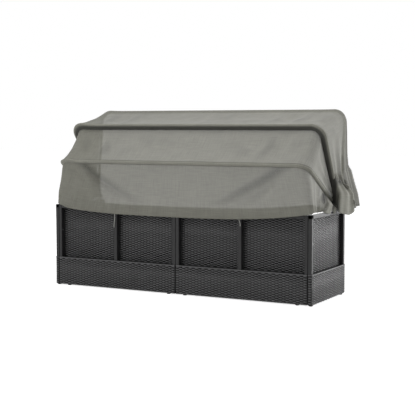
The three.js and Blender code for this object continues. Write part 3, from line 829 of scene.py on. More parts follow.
# A hoop's half width, its reach from the pivots and its turn up from level, at the back. Then its sleeve's
# radius, its depth as a share of that, where round it a shade starts and how dark that is, and how far it
# stands out at the left and right corners.
HOOPS = {
    "rear_hoop": {
        "side": 0.950, "reach": 0.585, "degrees": 29.5,
        "radius": 14.5 * MM, "depth": 1.0, "shade": (1.25, 0.85), "ears": (4 * MM, 26 * MM),
    },
    "mid_hoop": {
        "side": 0.968, "reach": 0.615, "degrees": 60.0,
        "radius": 24.0 * MM, "depth": 0.6, "shade": (0.7, 1.0), "ears": (4 * MM, 18 * MM),
    },
    "front_hoop": {
        "side": 0.986, "reach": 0.645, "degrees": 96.5,
        "radius": 9.5 * MM, "depth": 1.0, "shade": (9.0, 0.0), "ears": (4 * MM, 8 * MM),
    },
}
HOOP_CORNER = 0.080
HOOP_TUBE = 10 * MM
PANEL_START = 0.062
SLEEVE_START = 0.075
SLEEVE_FOOT = 10.5 * MM
SLEEVE_SIDES = 24
LEG_STEPS = 30
CORNER_STEPS = 14
BAR_STEPS = 150
CORNER_END = LEG_STEPS + CORNER_STEPS
HEM = {
    "half_length": 1.0, "half_depth": 0.3, "start": 0.125, "out": 6.6 * MM, "corner": 22 * MM,
    "low": 0.531, "rise": 0.045, "lowest": 0.050, "side": 0.600,
    "tuck_from": 0.86, "tuck_over": 0.13, "tuck_in": 30 * MM, "tuck_up": 12 * MM,
}


def bow(side, start, reach, corner):
    """Two legs, two round corners and a bar, as (across, away) pairs, with the same steps on every bow."""
    leg = np.linspace(0, 1, LEG_STEPS, endpoint=False)
    turn = np.linspace(0, math.pi / 2, CORNER_STEPS, endpoint=False)
    bar = np.linspace(-1, 1, BAR_STEPS + 1)
    left = np.column_stack([np.full(LEG_STEPS, -side), start + (reach - corner - start) * leg])
    bend = np.column_stack([corner * (1 - np.cos(turn)) - side, reach - corner * (1 - np.sin(turn))])
    top = np.column_stack([(side - corner) * bar, np.full(BAR_STEPS + 1, reach)])
    first = np.concatenate([left, bend])
    return np.concatenate([first, top, first[::-1] * [-1, 1]])


def bow_ways(columns):
    """How far each place on a bow is down its leg, from 0 to 1, its steps from the nearer end and its side."""
    index = np.arange(columns)
    from_end = np.minimum(index, columns - 1 - index)
    leg = np.clip(1 - from_end / LEG_STEPS, 0, 1)
    return leg, from_end, np.where(index < columns / 2, -1.0, 1.0)


def hoop_directions(name):
    """The direction from the pivots to a hoop's bar, and the direction ahead of its plane."""
    turn = math.radians(HOOPS[name]["degrees"])
    return np.array([0, math.cos(turn), math.sin(turn)]), np.array([0, -math.sin(turn), math.cos(turn)])


def hoop_frame(name, start=PANEL_START):
    """A hoop's middle line, its outward directions, and the direction ahead of its plane."""
    hoop = HOOPS[name]
    pairs = bow(hoop["side"], start, hoop["reach"], HOOP_CORNER)
    radial, ahead = hoop_directions(name)
    line = PIVOT * [0, 1, 1] + pairs[:, 1:2] * radial
    line[:, X] = pairs[:, 0]
    along = np.gradient(line, axis=0)
    along /= np.linalg.norm(along, axis=1, keepdims=True)
    return line, np.cross(ahead, along), ahead


def sleeve_radius(name, columns):
    """The sleeve's radius along the bow, narrower down the legs, and how far it stands out at the corners."""
    leg, from_end, side = bow_ways(columns)
    radius = HOOPS[name]["radius"]
    radius = radius + (SLEEVE_FOOT - radius) * leg**4
    left, right = HOOPS[name]["ears"]
    corner = hill(from_end, LEG_STEPS + 0.45 * CORNER_STEPS, 0.6 * CORNER_STEPS)
    return radius, np.where(side < 0, left, right) * corner


def sleeve_line(name, out_share, ahead_share):
    """A line on or in the sleeve, at shares of its radius outwards and ahead of the tube."""
    line, out, ahead = hoop_frame(name)
    radius, ears = sleeve_radius(name, len(line))
    ahead_share = ahead_share * HOOPS[name]["depth"]
    return line + out * (out_share * radius + 0.8 * ears)[:, None] + ahead * (ahead_share * radius)[:, None]


def hem_line():
    """The hem of the rear drop, outside the back and the arms.

    On the back its height rises from its lowest place as the cube of the way to the end. Round the corner it
    goes over to the height at the sides. Towards the right it is tucked in and up.
    """
    depth = HEM["half_depth"] + HEM["out"]
    pairs = bow(HEM["half_length"] + HEM["out"], HEM["start"], depth, HEM["corner"])
    shift = np.abs((pairs[:, 0] - HEM["lowest"]) / (HEM["half_length"] - HEM["lowest"]))
    back = HEM["low"] + HEM["rise"] * shift**3
    forward = ramp(-pairs[:, 1], -depth, HEM["corner"])
    tuck = eased(ramp(pairs[:, 0], HEM["tuck_from"], HEM["tuck_over"]))
    pairs[:, 0] -= HEM["tuck_in"] * tuck
    return np.column_stack([pairs, back + (HEM["side"] - back) * forward + HEM["tuck_up"] * tuck])


# Canopy cloth


PANEL_ROWS = 40
FLAP_ROWS = 16
BAND_ROWS = 9
BAND_INSET = 3.5 * MM
PANEL_FOLD = 7 * MM
PANEL_SHADE = 0.30
PANEL_WAVES = ((0.7, (3, 16)), (0.3, (5, 46)))
CREASE_SHARES = (0.55, 0.75)
CREASE_REACH = 22.0
CREASE_TURNS = 9.0
CREASE_LEAN = 3.2
CREASE_WIDTH = 0.55
GORE_FOLDS = 5
GORE_SHARE = 0.8
AREA_ROOM = 1.002
SLACK_RIDGE, SLACK_VALLEY, SLACK_APART = 0.045, 0.06, 0.085
SLACK_SLOPES = (0.80, 0.42)

# How high each kind of fold of the rear drop stands, and how dark the shade painted in its valleys is.
DROP_HEIGHTS = {
    "slow": 6 * MM, "pleats": 3 * MM, "steep": 20 * MM, "gentle": 10 * MM, "upright": 8 * MM, "fine": 4 * MM,
}
DROP_SHADES = {"steep": 0.42, "gentle": 0.2, "upright": 0.5, "fine": 0.12}

# How far the roof cloth and its flap stand off a hoop's legs, at these distances from the pivots: outwards,
# up and ahead of the front hoop.
SKIRT_AWAY = (0.062, 0.120, 0.180, 0.250, 0.272, 0.350, 0.500, 0.610)
SKIRT_EDGES = {
    "mid": (
        (0.067, 0.040, 0.012, 0.000, 0.000, 0.000, 0.000, 0.000),
        (0.090, 0.050, 0.014, 0.000, 0.000, 0.000, 0.000, 0.000),
        (0.000, 0.000, 0.000, 0.000, 0.000, 0.000, 0.000, 0.000),
    ),
    "front": (
        (0.076, 0.060, 0.038, 0.018, 0.014, 0.008, 0.004, 0.000),
        (-0.075, -0.045, -0.018, -0.003, 0.000, 0.000, 0.000, 0.000),
        (0.030, 0.022, 0.012, 0.004, 0.003, 0.002, 0.001, 0.000),
    ),
    "flap": (
        (0.100, 0.088, 0.064, 0.042, 0.027, 0.018, 0.010, 0.000),
        (-0.046, -0.032, -0.015, 0.000, 0.000, 0.000, 0.000, 0.000),
        (0.090, 0.084, 0.066, 0.046, 0.028, 0.018, 0.010, 0.004),
    ),
}


def panel_grid(low, high, sag, fullness=(0.0, 0.0)):
    """Rows of places between two lines, drawn in to the pivot line by a parabola of the way between them.

    At the corners the cloth stands fuller: it moves outwards and sideways by the same parabola.
    """
    share = np.linspace(0, 1, PANEL_ROWS)[:, None, None]
    places = low[None] * (1 - share) + high[None] * share
    inward = PIVOT - places
    inward[..., X] = 0
    reach = np.linalg.norm(inward, axis=-1, keepdims=True)
    strength = np.minimum(1, reach / HOOPS["rear_hoop"]["reach"])
    parabola = 4 * share * (1 - share)
    places = places + inward / reach * (parabola * sag * strength)
    from_end, side = bow_ways(places.shape[1])[1:]
    corner = hill(from_end, LEG_STEPS + 0.4 * CORNER_STEPS, CORNER_STEPS)
    full = (np.where(side < 0, *fullness) * corner)[None, :, None] * parabola
    sideways = np.zeros_like(places)
    sideways[..., X] = side
    return places + full * (0.8 * sideways - 0.6 * inward / reach)


def panel_folds(places, seed):
    """The wrinkles of a panel between two hoops: their heights along the cloth's normal, and their shade.

    Slow random waves all over; creases that leave each corner of either hoop and fan inwards to the other, as
    a sine of the way along the bar under a hill that moves along; and on the side gores, creases that run out
    from the pivot, as a sine of the share of the way between the hoops. The cloth is held at both hoops.
    """
    rows, columns = places.shape[:2]
    down = np.linspace(0, 1, rows)[:, None]
    leg, from_end = bow_ways(columns)[:2]
    leg = leg[None, :]
    slow = 0.0
    for number, (share, cells) in enumerate(PANEL_WAVES):
        slow = slow + share * smooth_noise((rows, columns), cells, seed + number)
    reach = (from_end - CORNER_END)[None, :] / CREASE_REACH
    creases = 0.0
    for way, share in zip((down, 1 - down), CREASE_SHARES):
        wave = np.sin(reach * CREASE_TURNS - way * CREASE_LEAN + seed)
        creases = creases + share * wave * hill(reach, CREASE_WIDTH + 0.5 * way, CREASE_WIDTH)
    gore = np.sin(down * math.pi * GORE_FOLDS + 2.0 * leg + seed) * np.minimum(1, leg * 2.2)
    held = np.sin(math.pi * down) ** 0.6
    folds = held * (slow + creases + GORE_SHARE * gore)
    return PANEL_FOLD * folds, PANEL_SHADE * np.clip(-folds, 0, 1)


def slack_fold(across, rise, slope):
    """A slack fold's height and shade: a ridge and a valley that slope from a corner to the middle."""
    path = 0.02 + slope * (1 - rise)
    valley = hill(across, path + SLACK_APART, SLACK_VALLEY)
    fade = ramp(rise, 0.22, 0.35) * ramp(-rise, -1.02, 0.06)
    return (hill(across, path, SLACK_RIDGE) - 0.8 * valley) * fade, valley * fade


def drop_folds(places, seed):
    """The folds of the rear drop: their heights along the cloth's normal, and their shade.

    Slow random waves; soft pleats below both ends of the rear hoop; a steep and a gentle slack fold from each
    of its corners; narrow upright folds on the sides, below its legs; and fine gathers near the hem.
    """
    rows, columns = places.shape[:2]
    rise = np.linspace(0, 1, rows)[:, None]
    leg, from_end = bow_ways(columns)[:2]
    leg = leg[None, :]
    across = (from_end - CORNER_END)[None, :] / (BAR_STEPS / 2)
    steep, gentle = SLACK_SLOPES
    folds, shades = {}, {}
    folds["slow"] = smooth_noise((rows, columns), (3, 14), seed)
    folds["pleats"] = np.sin(across * 40 + 1.5 * rise + seed) * hill(across, 0.02, 0.07)
    folds["steep"], shades["steep"] = slack_fold(across, rise, steep)
    folds["gentle"], shades["gentle"] = slack_fold(across - 0.03, rise, gentle)
    folds["upright"] = np.sin(leg * 24 + 1.5 * rise) * np.minimum(1, leg * 2.5)
    folds["fine"] = smooth_noise((rows, columns), (4, 90), seed + 7) * (1 - rise) ** 2
    shades["upright"] = np.clip(-folds["upright"], 0, 1) * rise**0.7
    shades["fine"] = np.clip(-folds["fine"], 0, 1)
    height = sum(DROP_HEIGHTS[kind] * fold for kind, fold in folds.items())
    shade = sum(DROP_SHADES[kind] * dark for kind, dark in shades.items())
    return (1 - rise**3) * height, np.clip(shade, 0, 1)


def thin_sheet(name, places, material, uv, painted_light_and_tone):
    """A grid of places as a sheet of cloth with its thickness."""
    faces = [grid_faces(*places.shape[:2])]
    piece = mesh_piece(name, places.reshape(-1, 3), faces, material, uv=uv, painted_light_and_tone=painted_light_and_tone.ravel())
    add_modifier(piece, "SOLIDIFY", thickness=bpy.context.scene.daybed_canopy.thickness, offset=0.0)
    return piece


def cloth_piece(name, places, material, painted_light_and_tone, guide=None):
    """A sheet of cloth over a grid of places, with its threads in metres.

    The guide is not used.
    """
    rows, columns = places.shape[:2]
    middle = columns // 2
    across = way_along(places[rows // 2])
    down = way_along(places[:, middle])
    piece = thin_sheet(name, places, material, paired(across[None, :], down[:, None]), painted_light_and_tone)
    guide = places if guide is None else guide
    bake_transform(piece)
    return piece


def grid_area(places):
    """The area of a grid of places, as the sum of its quads."""
    a = places[1:, :-1] - places[:-1, :-1]
    b = places[:-1, 1:] - places[:-1, :-1]
    return float(np.linalg.norm(np.cross(a, b), axis=-1).sum())


def declare_cloth(places):
    """Works out how big the sheet was cut, its longest line across and its way down the middle, and keeps none
    of it.
    """
    width = max(float(way_along(places[0])[-1]), float(way_along(places[-1])[-1]))
    length = float(way_along(places[:, places.shape[1] // 2])[-1])
    area = grid_area(places)
    length = max(length, area / width * AREA_ROOM)


def sleeve(hoop_name):
    """The sewn sleeve round one hoop.

    A loose tube of cloth along the hoop's legs, corners and bar: a circle that hangs a little off the tube,
    its radius moved by slow random wrinkles, narrowing towards the pivots and standing out at the corners.
    """
    hoop = HOOPS[hoop_name]
    line, out, ahead = hoop_frame(hoop_name, SLEEVE_START)
    count = len(line)
    angle = np.linspace(0, 2 * math.pi, SLEEVE_SIDES, endpoint=False)
    wrinkle = smooth_noise((count, SLEEVE_SIDES + 1), (80, 6), 11)[:, :-1] * np.sin(angle / 2)
    radius, ears = sleeve_radius(hoop_name, count)
    slack = (radius - HOOP_TUBE)[:, None] * 0.4 * hoop["depth"]
    radius = radius[:, None] * (1 + 0.08 * wrinkle)
    stand = np.cos(angle) * radius + np.clip(np.cos(angle), 0, 1) * ears[:, None]
    hang = slack + np.sin(angle) * radius * hoop["depth"]
    places = line[:, None, :] + out[:, None, :] * stand[..., None] - ahead * hang[..., None]
    # Painted shade: the sleeve is darker round its back and underside, by the hoop's shade.
    start, most = hoop["shade"]
    shade = ramp(angle, start, 0.5) * ramp(-angle, -math.pi * 1.25, 0.5) * most
    painted_light_and_tone = np.broadcast_to(shade, (count, SLEEVE_SIDES)).ravel()
    uv = paired(way_along(line)[:, None], angle * 12 * MM)
    faces = [grid_faces(count, SLEEVE_SIDES, loop_columns=True), end_caps(count, SLEEVE_SIDES)]
    name = hoop_name.replace("hoop", "sleeve")
    piece = repaired(mesh_piece(name, places.reshape(-1, 3), faces, MATERIALS["sleeve"], uv=uv, painted_light_and_tone=painted_light_and_tone))
    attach(piece, hoop_name)
    return piece


def skirt_offsets(line, edge):
    """How far the roof cloth stands off a hoop's line on the legs, by the distance from the pivot."""
    ahead = hoop_directions("front_hoop")[1]
    away = np.hypot(line[:, Y] - PIVOT[Y], line[:, Z] - PIVOT[Z])
    out, up, forward = (np.interp(away, SKIRT_AWAY, values) for values in SKIRT_EDGES[edge])
    offsets = ahead[None, :] * forward[:, None]
    offsets[:, X] += out * np.sign(line[:, X])
    offsets[:, Z] += up
    return offsets


def skirted(roof):
    """The roof cloth with its flared sides and the free flap ahead of the front hoop.

    The places of each row move off the legs by a mix of the offsets at both hoops; the flap's rows go on from
    the front hoop to the flap's free edge. Both are moved in and out by a sine of the way from row to row.
    """
    mid = skirt_offsets(roof[0], "mid")[None]
    front, free = (skirt_offsets(roof[-1], edge)[None] for edge in ("front", "flap"))
    share = np.linspace(0, 1, len(roof))[:, None, None]
    body = roof + mid * (1 - share) ** 0.8 + front * share**1.2
    wave = 0.16 * np.sin(share[..., 0] * math.pi * 3.0 + 0.6) * np.abs(mid[..., X])
    body[..., X] += wave * np.sign(roof[..., X])
    along = (np.arange(1, FLAP_ROWS + 1) / FLAP_ROWS)[:, None, None]
    flap = roof[-1:] + front * (1 - along) + free * along
    fold = 0.10 * np.sin(along[..., 0] * math.pi * 3.6) * np.abs(front[..., X])
    flap[..., X] += fold * np.sign(flap[..., X])
    return np.concatenate([body, flap])


class DAYBED_OT_canopy(bpy.types.Operator):
    """Hang the canopy cloth over the hoops"""

    bl_idname = "daybed.canopy"
    bl_label = "Canopy cloth"

    def execute(self, context):
        sag = context.scene.daybed_canopy.sag
        drop = panel_grid(hem_line(), sleeve_line("rear_hoop", -0.1, -0.85), 0.0)
        folds, drop_shade = drop_folds(drop, 3)
        drop = moved_out(drop, folds)
        rear = panel_grid(
            sleeve_line("rear_hoop", 0.98, 0.2), sleeve_line("mid_hoop", -0.75, -0.5), sag, (4 * MM, -8 * MM)
        )
        folds, rear_shade = panel_folds(rear, 4)
        rear = moved_out(rear, folds)
        roof = panel_grid(
            sleeve_line("mid_hoop", 0.86, 0.2), sleeve_line("front_hoop", 0.97, -0.4), sag, (4 * MM, 0.0)
        )
        folds, roof_shade = panel_folds(roof, 8)
        roof = skirted(moved_out(roof, folds))
        roof_shade = np.concatenate([roof_shade, np.zeros((FLAP_ROWS, roof.shape[1]))])
        sleeves = [sleeve(name) for name in HOOPS]
        cloth = MATERIALS["canopy"]
        piece = cloth_piece("rear_drop_cloth", drop, cloth, drop_shade)
        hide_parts("canopy_rear_drop")
        band = self.hem_band(drop, drop_shade)
        declare_cloth(drop)
        piece = cloth_piece("rear_panel_cloth", rear, cloth, rear_shade)
        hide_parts("canopy_rear_panel")
        declare_cloth(rear)
        piece = cloth_piece("roof_cloth", roof, cloth, roof_shade)
        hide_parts("canopy_roof_panel")
        declare_cloth(roof)
        return {"FINISHED"}

    def hem_band(self, drop, shade):
        """The turned-up hem inside the rear drop: its lowest rows, set in towards the daybed's middle."""
        low = drop[:BAND_ROWS]
        normal = normals_of(drop)[:BAND_ROWS]
        outwards = normal[..., :1] * np.sign(low[..., :1]) + normal[..., 1:2]
        inner = low - normal * BAND_INSET * np.sign(outwards)
        return cloth_piece("hem_band", inner, MATERIALS["hem"], shade[:BAND_ROWS], guide=drop)


# Gathered tails


# The places that a tail's top and hem pass through on the right side, and how dark the shade painted between
# them is.
TAIL_KEYS = (
    ((0.940, -0.005, 0.722), (0.986, 0.120, 0.602), 1.0),
    ((0.944, -0.040, 0.702), (1.000, 0.092, 0.586), 0.5),
    ((0.946, -0.055, 0.694), (1.010, 0.045, 0.578), 0.0),
    ((0.946, -0.075, 0.682), (1.008, 0.005, 0.574), 0.1),
    ((0.944, -0.085, 0.660), (0.998, -0.005, 0.585), 0.8),
    ((0.944, -0.110, 0.648), (0.998, -0.060, 0.588), 0.9),
    ((0.948, -0.130, 0.638), (1.004, -0.060, 0.574), 0.1),
    ((0.950, -0.150, 0.630), (1.002, -0.100, 0.568), 0.2),
    ((0.950, -0.160, 0.634), (0.998, -0.110, 0.585), 0.7),
    ((0.955, -0.150, 0.660), (1.000, -0.145, 0.588), 0.5),
    ((0.968, -0.112, 0.815), (1.030, -0.090, 0.578), 0.0),
    ((0.964, -0.150, 0.845), (1.050, -0.150, 0.560), 0.0),
    ((0.966, -0.190, 0.835), (1.060, -0.220, 0.553), 0.05),
    ((1.000, -0.232, 0.805), (1.070, -0.275, 0.578), 0.0),
    ((1.002, -0.285, 0.760), (1.016, -0.322, 0.598), 0.0),
)
TAIL_ROWS = 34
TAIL_COLUMNS = 150
TAIL_CLOTH = (0.40, 0.15)
TAIL_RIPPLE = (3 * MM, 2 * MM)

# Where the shade under the lip ends down the tail, where it starts and ends along it, and over what it fades.
LIP_DOWN, LIP_FROM, LIP_TO = (0.34, 0.12), (0.615, 0.056), (0.93, 0.04)


class DAYBED_OT_tails(bpy.types.Operator):
    """Hang the gathered tails over the arms at the pivots"""

    bl_idname = "daybed.tails"
    bl_label = "Gathered tails"

    def execute(self, context):
        for side, sign in SIDES.items():
            self.tail(side, sign)
        return {"FINISHED"}

    def tail(self, side, sign):
        """The ruffle of cloth below one pivot.

        A sheet between two smooth curves: its gathered top, along the foot of the rear hoop and under the lip
        of the roof cloth, and its hem outside the arm. It leaves the top outwards at once, then falls. Its hem
        bends in and out in deep folds, whose insides are painted darker as shade. Shade is painted under the
        lip and near the top too.
        """
        tops, hems, shades = zip(*TAIL_KEYS)
        top, low = (smooth_route(points, TAIL_COLUMNS)[None] for points in (tops, hems))
        down = np.linspace(0, 1, TAIL_ROWS)[:, None]
        share = np.linspace(0, 1, TAIL_COLUMNS)[None, :]
        places = top + (low - top) * np.stack([np.minimum(1, down / 0.5) ** 0.9, down**0.85, down], axis=-1)
        slow, fine = TAIL_RIPPLE
        ripple = smooth_noise((TAIL_ROWS, TAIL_COLUMNS), (3, 26), 5) * slow
        ripple = ripple + fine * np.sin(share * 70 + 2 * down)
        places = moved_out(places, ripple * np.sin(math.pi * down * 0.9) ** 0.5)
        dark = np.interp(share[0], np.linspace(0, 1, len(shades)), shades)[None, :]
        (foot, fade), begin, (finish, end) = LIP_DOWN, LIP_FROM, LIP_TO
        under_lip = ramp(-down, -foot, fade) * ramp(share, *begin) * ramp(-share, -finish, end)
        # Painted shade: dark inside the folds, near the top and under the lip.
        painted_light_and_tone = np.clip(dark * (1.15 - 0.5 * down) + 0.3 * (1 - down) ** 3 + under_lip, 0, 1)
        places[..., X] *= sign
        uv = paired(share * TAIL_CLOTH[0], down * TAIL_CLOTH[1])
        piece = thin_sheet(f"{side}_tail_cloth", places, MATERIALS["sleeve"], uv, painted_light_and_tone)
        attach(piece, "daybed")
        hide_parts(f"{side}_canopy_tail")
        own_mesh(piece)
        declare_cloth(places)


# Tie cords


TIE_WIDTH = 3 * MM
TIE_DEPTH = 0.3066

# The places that each cord passes through below its exit, in millimetres.
TIE_ROUTES = {
    "right": [(0, 0, 0), (-2, -1, -24), (1, -2, -52), (4, -1, -78), (3, 0, -96)],
    "left": [(0, 0, 0), (-3, -1, -14), (-8, -2, -30), (-9, -1, -46)],
}


class DAYBED_OT_ties(bpy.types.Operator):
    """Hang the tie cords at the middle stiles"""

    bl_idname = "daybed.ties"
    bl_label = "Tie cords"

    def execute(self, context):
        for side, route in TIE_ROUTES.items():
            self.tie(side, np.array(route) * MM)
        return {"FINISHED"}

    def tie(self, side, offsets):
        """One cord: a round curve through its route, from the hem down."""
        low, high = corners_of(f"{side}_tie_cord")
        start = np.array([low[X] + TIE_WIDTH / 2 - offsets[:, X].min(), TIE_DEPTH, high[Z]])
        places = smooth_route(start + offsets)
        curve = bpy.data.curves.new(f"{side}_tie", "CURVE")
        curve.dimensions = "3D"
        curve.bevel_depth = TIE_WIDTH / 2
        curve.bevel_resolution = 3
        curve.use_fill_caps = True
        spline = curve.splines.new("POLY")
        spline.points.add(len(places) - 1)
        spline.points.foreach_set("co", np.column_stack([places, np.ones(len(places))]).ravel())
        curve.materials.append(MATERIALS["tie"])
        piece = link_new(f"{side}_tie", curve)
        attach(piece, "daybed")
        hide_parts(f"{side}_tie_cord")


# Cushions


DRAW_IN = 9 * MM
EDGE_SHARE = 0.60
SHELL_COUNTS = (40, 26, 8)
RIM_LEVELS = (-0.97, 0.97)
RIM_STEPS = 60
RIM_SIDES = 8
WELD = 0.05 * MM
ROOM_SHARE = 0.94
ROOM_LEFT = 0.055
CLOTH_STIFFNESS = {
    "quality": 5,
    "mass": 0.25,
    "tension_stiffness": 12,
    "compression_stiffness": 12,
    "shear_stiffness": 4,
    "bending_stiffness": 0.4,
}

# The nodes of each kind of cushion, whether it stands on its long side, the voxel of its mesh, the most that
# its filling moves it, and the room left round it before it is filled.
CUSHIONS = (
    (("seat_cushion",), False, 6.5 * MM, 10 * MM, 5 * MM),
    (("back_cushion_inner", "back_cushion_outer"), True, 5.5 * MM, 16 * MM, 7 * MM),
)


def cushion_places(unit, size):
    """Places on a cushion of a size, for places u, v, w on a cube from -1 to 1.

    The faces crown: their height is a share of the thickness that rises from the edges to the middle as the
    root of (1 - u^4)(1 - v^4). The sides are drawn in between the corners, and a little at the outer edges.
    """
    u, v, w = unit.T
    crown = np.sqrt(np.clip((1 - u**4) * (1 - v**4), 0, 1))
    x = u * (size[X] / 2 - DRAW_IN * (1 - v**2) - 0.5 * DRAW_IN * w**2)
    y = v * (size[Y] / 2 - DRAW_IN * (1 - u**2) - 0.5 * DRAW_IN * w**2)
    z = w * size[Z] / 2 * (EDGE_SHARE + (1 - EDGE_SHARE) * crown)
    return np.column_stack([x, y, z])


def cube_shell():
    """Places and quads of a cube from -1 to 1, with its faces divided evenly along its three axes."""
    places, faces, total = [], [], 0
    for axis in (X, Y, Z):
        first, second = (other for other in (X, Y, Z) if other != axis)
        ticks = (np.linspace(-1, 1, SHELL_COUNTS[other] + 1) for other in (first, second))
        u, v = np.meshgrid(*ticks, indexing="ij")
        for sign in (-1, 1):
            block = np.zeros(u.shape + (3,))
            block[..., axis] = sign
            block[..., first] = u
            block[..., second] = v
            faces.append(grid_faces(*u.shape) + total)
            places.append(block.reshape(-1, 3))
            total += u.size
    return np.concatenate(places), faces


def applied(piece):
    """Replaces the piece's mesh by the one that its modifiers make."""
    graph = bpy.context.evaluated_depsgraph_get()
    mesh = bpy.data.meshes.new_from_object(piece.evaluated_get(graph))
    piece.modifiers.clear()
    piece.data = mesh


def filled(piece, voxel, most):
    """The piece blown up like a filled cushion: remeshed, then moved by a cloth simulation with pressure.

    A vertex's way is eased towards the most that it may move by a hyperbolic tangent, so the filling keeps
    its form. Gives the places before and after.
    """
    settings = bpy.context.scene.daybed_cushions
    scene = bpy.context.scene
    add_modifier(piece, "REMESH", mode="VOXEL", voxel_size=voxel)
    applied(piece)
    before = places_of(piece.data)
    cloth = piece.modifiers.new("Filling", "CLOTH")
    for name, value in CLOTH_STIFFNESS.items():
        setattr(cloth.settings, name, value)
    cloth.settings.use_pressure = True
    cloth.settings.uniform_pressure_force = settings.pressure
    cloth.settings.effector_weights.gravity = 0
    cloth.collision_settings.use_collision = False
    cloth.point_cache.frame_start = 1
    cloth.point_cache.frame_end = settings.frames
    for step in range(1, settings.frames + 1):
        scene.frame_set(step)
    applied(piece)
    scene.frame_set(1)
    moved = places_of(piece.data) - before
    length = np.maximum(np.linalg.norm(moved, axis=1, keepdims=True), 1e-9)
    return before, before + moved / length * (most * np.tanh(length / most))


def kept_in(places, size):
    """Places pressed softly into a box: past a share of it, by a hyperbolic tangent of what is over."""
    half = np.asarray(size) / 2
    share = np.abs(places) / half
    pressed = ROOM_SHARE + ROOM_LEFT * np.tanh((share - ROOM_SHARE) / ROOM_LEFT)
    return np.sign(places) * np.where(share > ROOM_SHARE, pressed, share) * half


def rim_path(size, level, before, after):
    """The line of a cushion's seam round its top or bottom edge, carried with the filling and smoothed."""
    tick = np.linspace(-1, 1, RIM_STEPS, endpoint=False)
    end = np.ones(RIM_STEPS)
    u = np.concatenate([tick, end, -tick, -end])
    v = np.concatenate([-end, tick, end, -tick])
    corner = np.maximum(np.abs(u), np.abs(v))
    line = cushion_places(np.column_stack([u / corner, v / corner, np.full(len(u), level)]), size)
    if before is None:
        return line
    near = [np.argmin(((before - place) ** 2).sum(axis=1)) for place in line]
    line = line + (after - before)[near]
    for _ in range(3):
        line = (np.roll(line, 1, axis=0) + 2 * line + np.roll(line, -1, axis=0)) / 4
    return line


def ring_tube(name, line, radius, material):
    """A round cord along a closed line: a circle carried along it."""
    along = np.roll(line, -1, axis=0) - np.roll(line, 1, axis=0)
    along /= np.linalg.norm(along, axis=1, keepdims=True)
    side = np.cross(along, [0.0, 0.0, 1.0])
    side /= np.linalg.norm(side, axis=1, keepdims=True)
    up = np.cross(side, along)
    angle = np.linspace(0, 2 * math.pi, RIM_SIDES, endpoint=False)[None, :, None]
    ring = line[:, None, :] + radius * (np.cos(angle) * side[:, None, :] + np.sin(angle) * up[:, None, :])
    places = np.concatenate([ring, ring[:1]]).reshape(-1, 3)
    way = way_along(np.concatenate([line, line[:1]]))
    uv = np.column_stack([np.repeat(way, RIM_SIDES), np.zeros(len(places))])
    faces = [grid_faces(len(line) + 1, RIM_SIDES, loop_columns=True)]
    return repaired(mesh_piece(name, places, faces, material, uv=uv), WELD)


def laid_up(piece, turned, mirror, place):
    """Puts a cushion made lying at the origin into its place, stood up or mirrored if asked."""
    places = places_of(piece.data)
    if turned:
        places = places[:, [X, Z, Y]] * [1, -1, 1]
    if mirror:
        places[:, X] *= -1
    set_places(piece.data, places + place)
    repaired(piece)


def give_threads(piece, turned):
    """Thread coordinates for a cushion: its two long directions, each with a share of the third."""
    x, y, z = places_of(piece.data).T
    set_threads(piece.data, np.column_stack([x + 0.7 * y, z + y] if turned else [x + 0.7 * z, y + z]))


def copy_of(piece, name):
    """A copy of a piece with a mesh of its own."""
    twin = piece.copy()
    twin.data = piece.data.copy()
    twin.name = name
    bpy.context.scene.collection.objects.link(twin)
    return twin


class DAYBED_OT_cushions(bpy.types.Operator):
    """Fill the seat and back cushions"""

    bl_idname = "daybed.cushions"
    bl_label = "Cushions"

    def execute(self, context):
        for cushion in CUSHIONS:
            self.group(*cushion)
        return {"FINISHED"}

    def group(self, kinds, turned, voxel, most, room):
        """Makes one kind of cushion once, then lays a copy of it in each of its places."""
        low, high = corners_of(f"right_{kinds[0]}")
        size = (high - low)[[X, Z, Y]] if turned else high - low
        made = size - 2 * room
        unit, faces = cube_shell()
        body = mesh_piece(f"{kinds[0]}_form", cushion_places(unit, made), faces, MATERIALS["cushion"])
        repaired(body, WELD)
        before = after = None
        before, after = filled(body, voxel, most)
        after = kept_in(after, size)
        set_places(body.data, after)
        add_modifier(body, "SUBSURF", levels=1, render_levels=1)
        body.data.polygons.foreach_set("use_smooth", np.full(len(body.data.polygons), True))
        radius = bpy.context.scene.daybed_cushions.piping
        rims = [
            ring_tube(f"{kinds[0]}_rim", rim_path(made, level, before, after), radius, MATERIALS["piping"])
            for level in RIM_LEVELS
        ]
        for side, sign in SIDES.items():
            for number, kind in enumerate(kinds):
                node = f"{side}_{kind}"
                low, high = corners_of(node)
                pieces = [copy_of(body, f"{node}_pad")] + [copy_of(rim, f"{node}_piping") for rim in rims]
                for piece in pieces:
                    laid_up(piece, turned, (sign < 0) ^ (number == 1), (low + high) / 2)
                    give_threads(piece, turned)
                    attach(piece, "daybed")
                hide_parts(node)
        for piece in (body, *rims):
            bpy.data.objects.remove(piece)


# Stage


FLOOR_HALF = 30.0
FLOOR_GREY = 0.8
FLOOR_GLOW = 0.75
SURROUND_LIGHT = 0.33

# Each lamp's place, the place it is turned to, its side and its power in watts.
LAMPS = {
    "side_light": ((-4.2, -4.6, 1.5), (-0.9, 0.0, 0.4), 2.8, 252.0),
    "top_light": ((-0.8, 0.6, 4.6), (0.0, 0.0, 0.6), 3.2, 104.0),
    "back_fill": ((3.6, 5.8, 2.8), (0.2, 0.2, 0.6), 3.5, 176.0),
    "front_fill": ((2.0, -5.5, 2.8), (0.0, 0.0, 0.5), 3.5, 90.0),
}


def heading_turn(direction):
    """The turn of a camera or lamp that looks in a direction."""
    return Vector(direction).to_track_quat("-Z", "Y").to_euler()


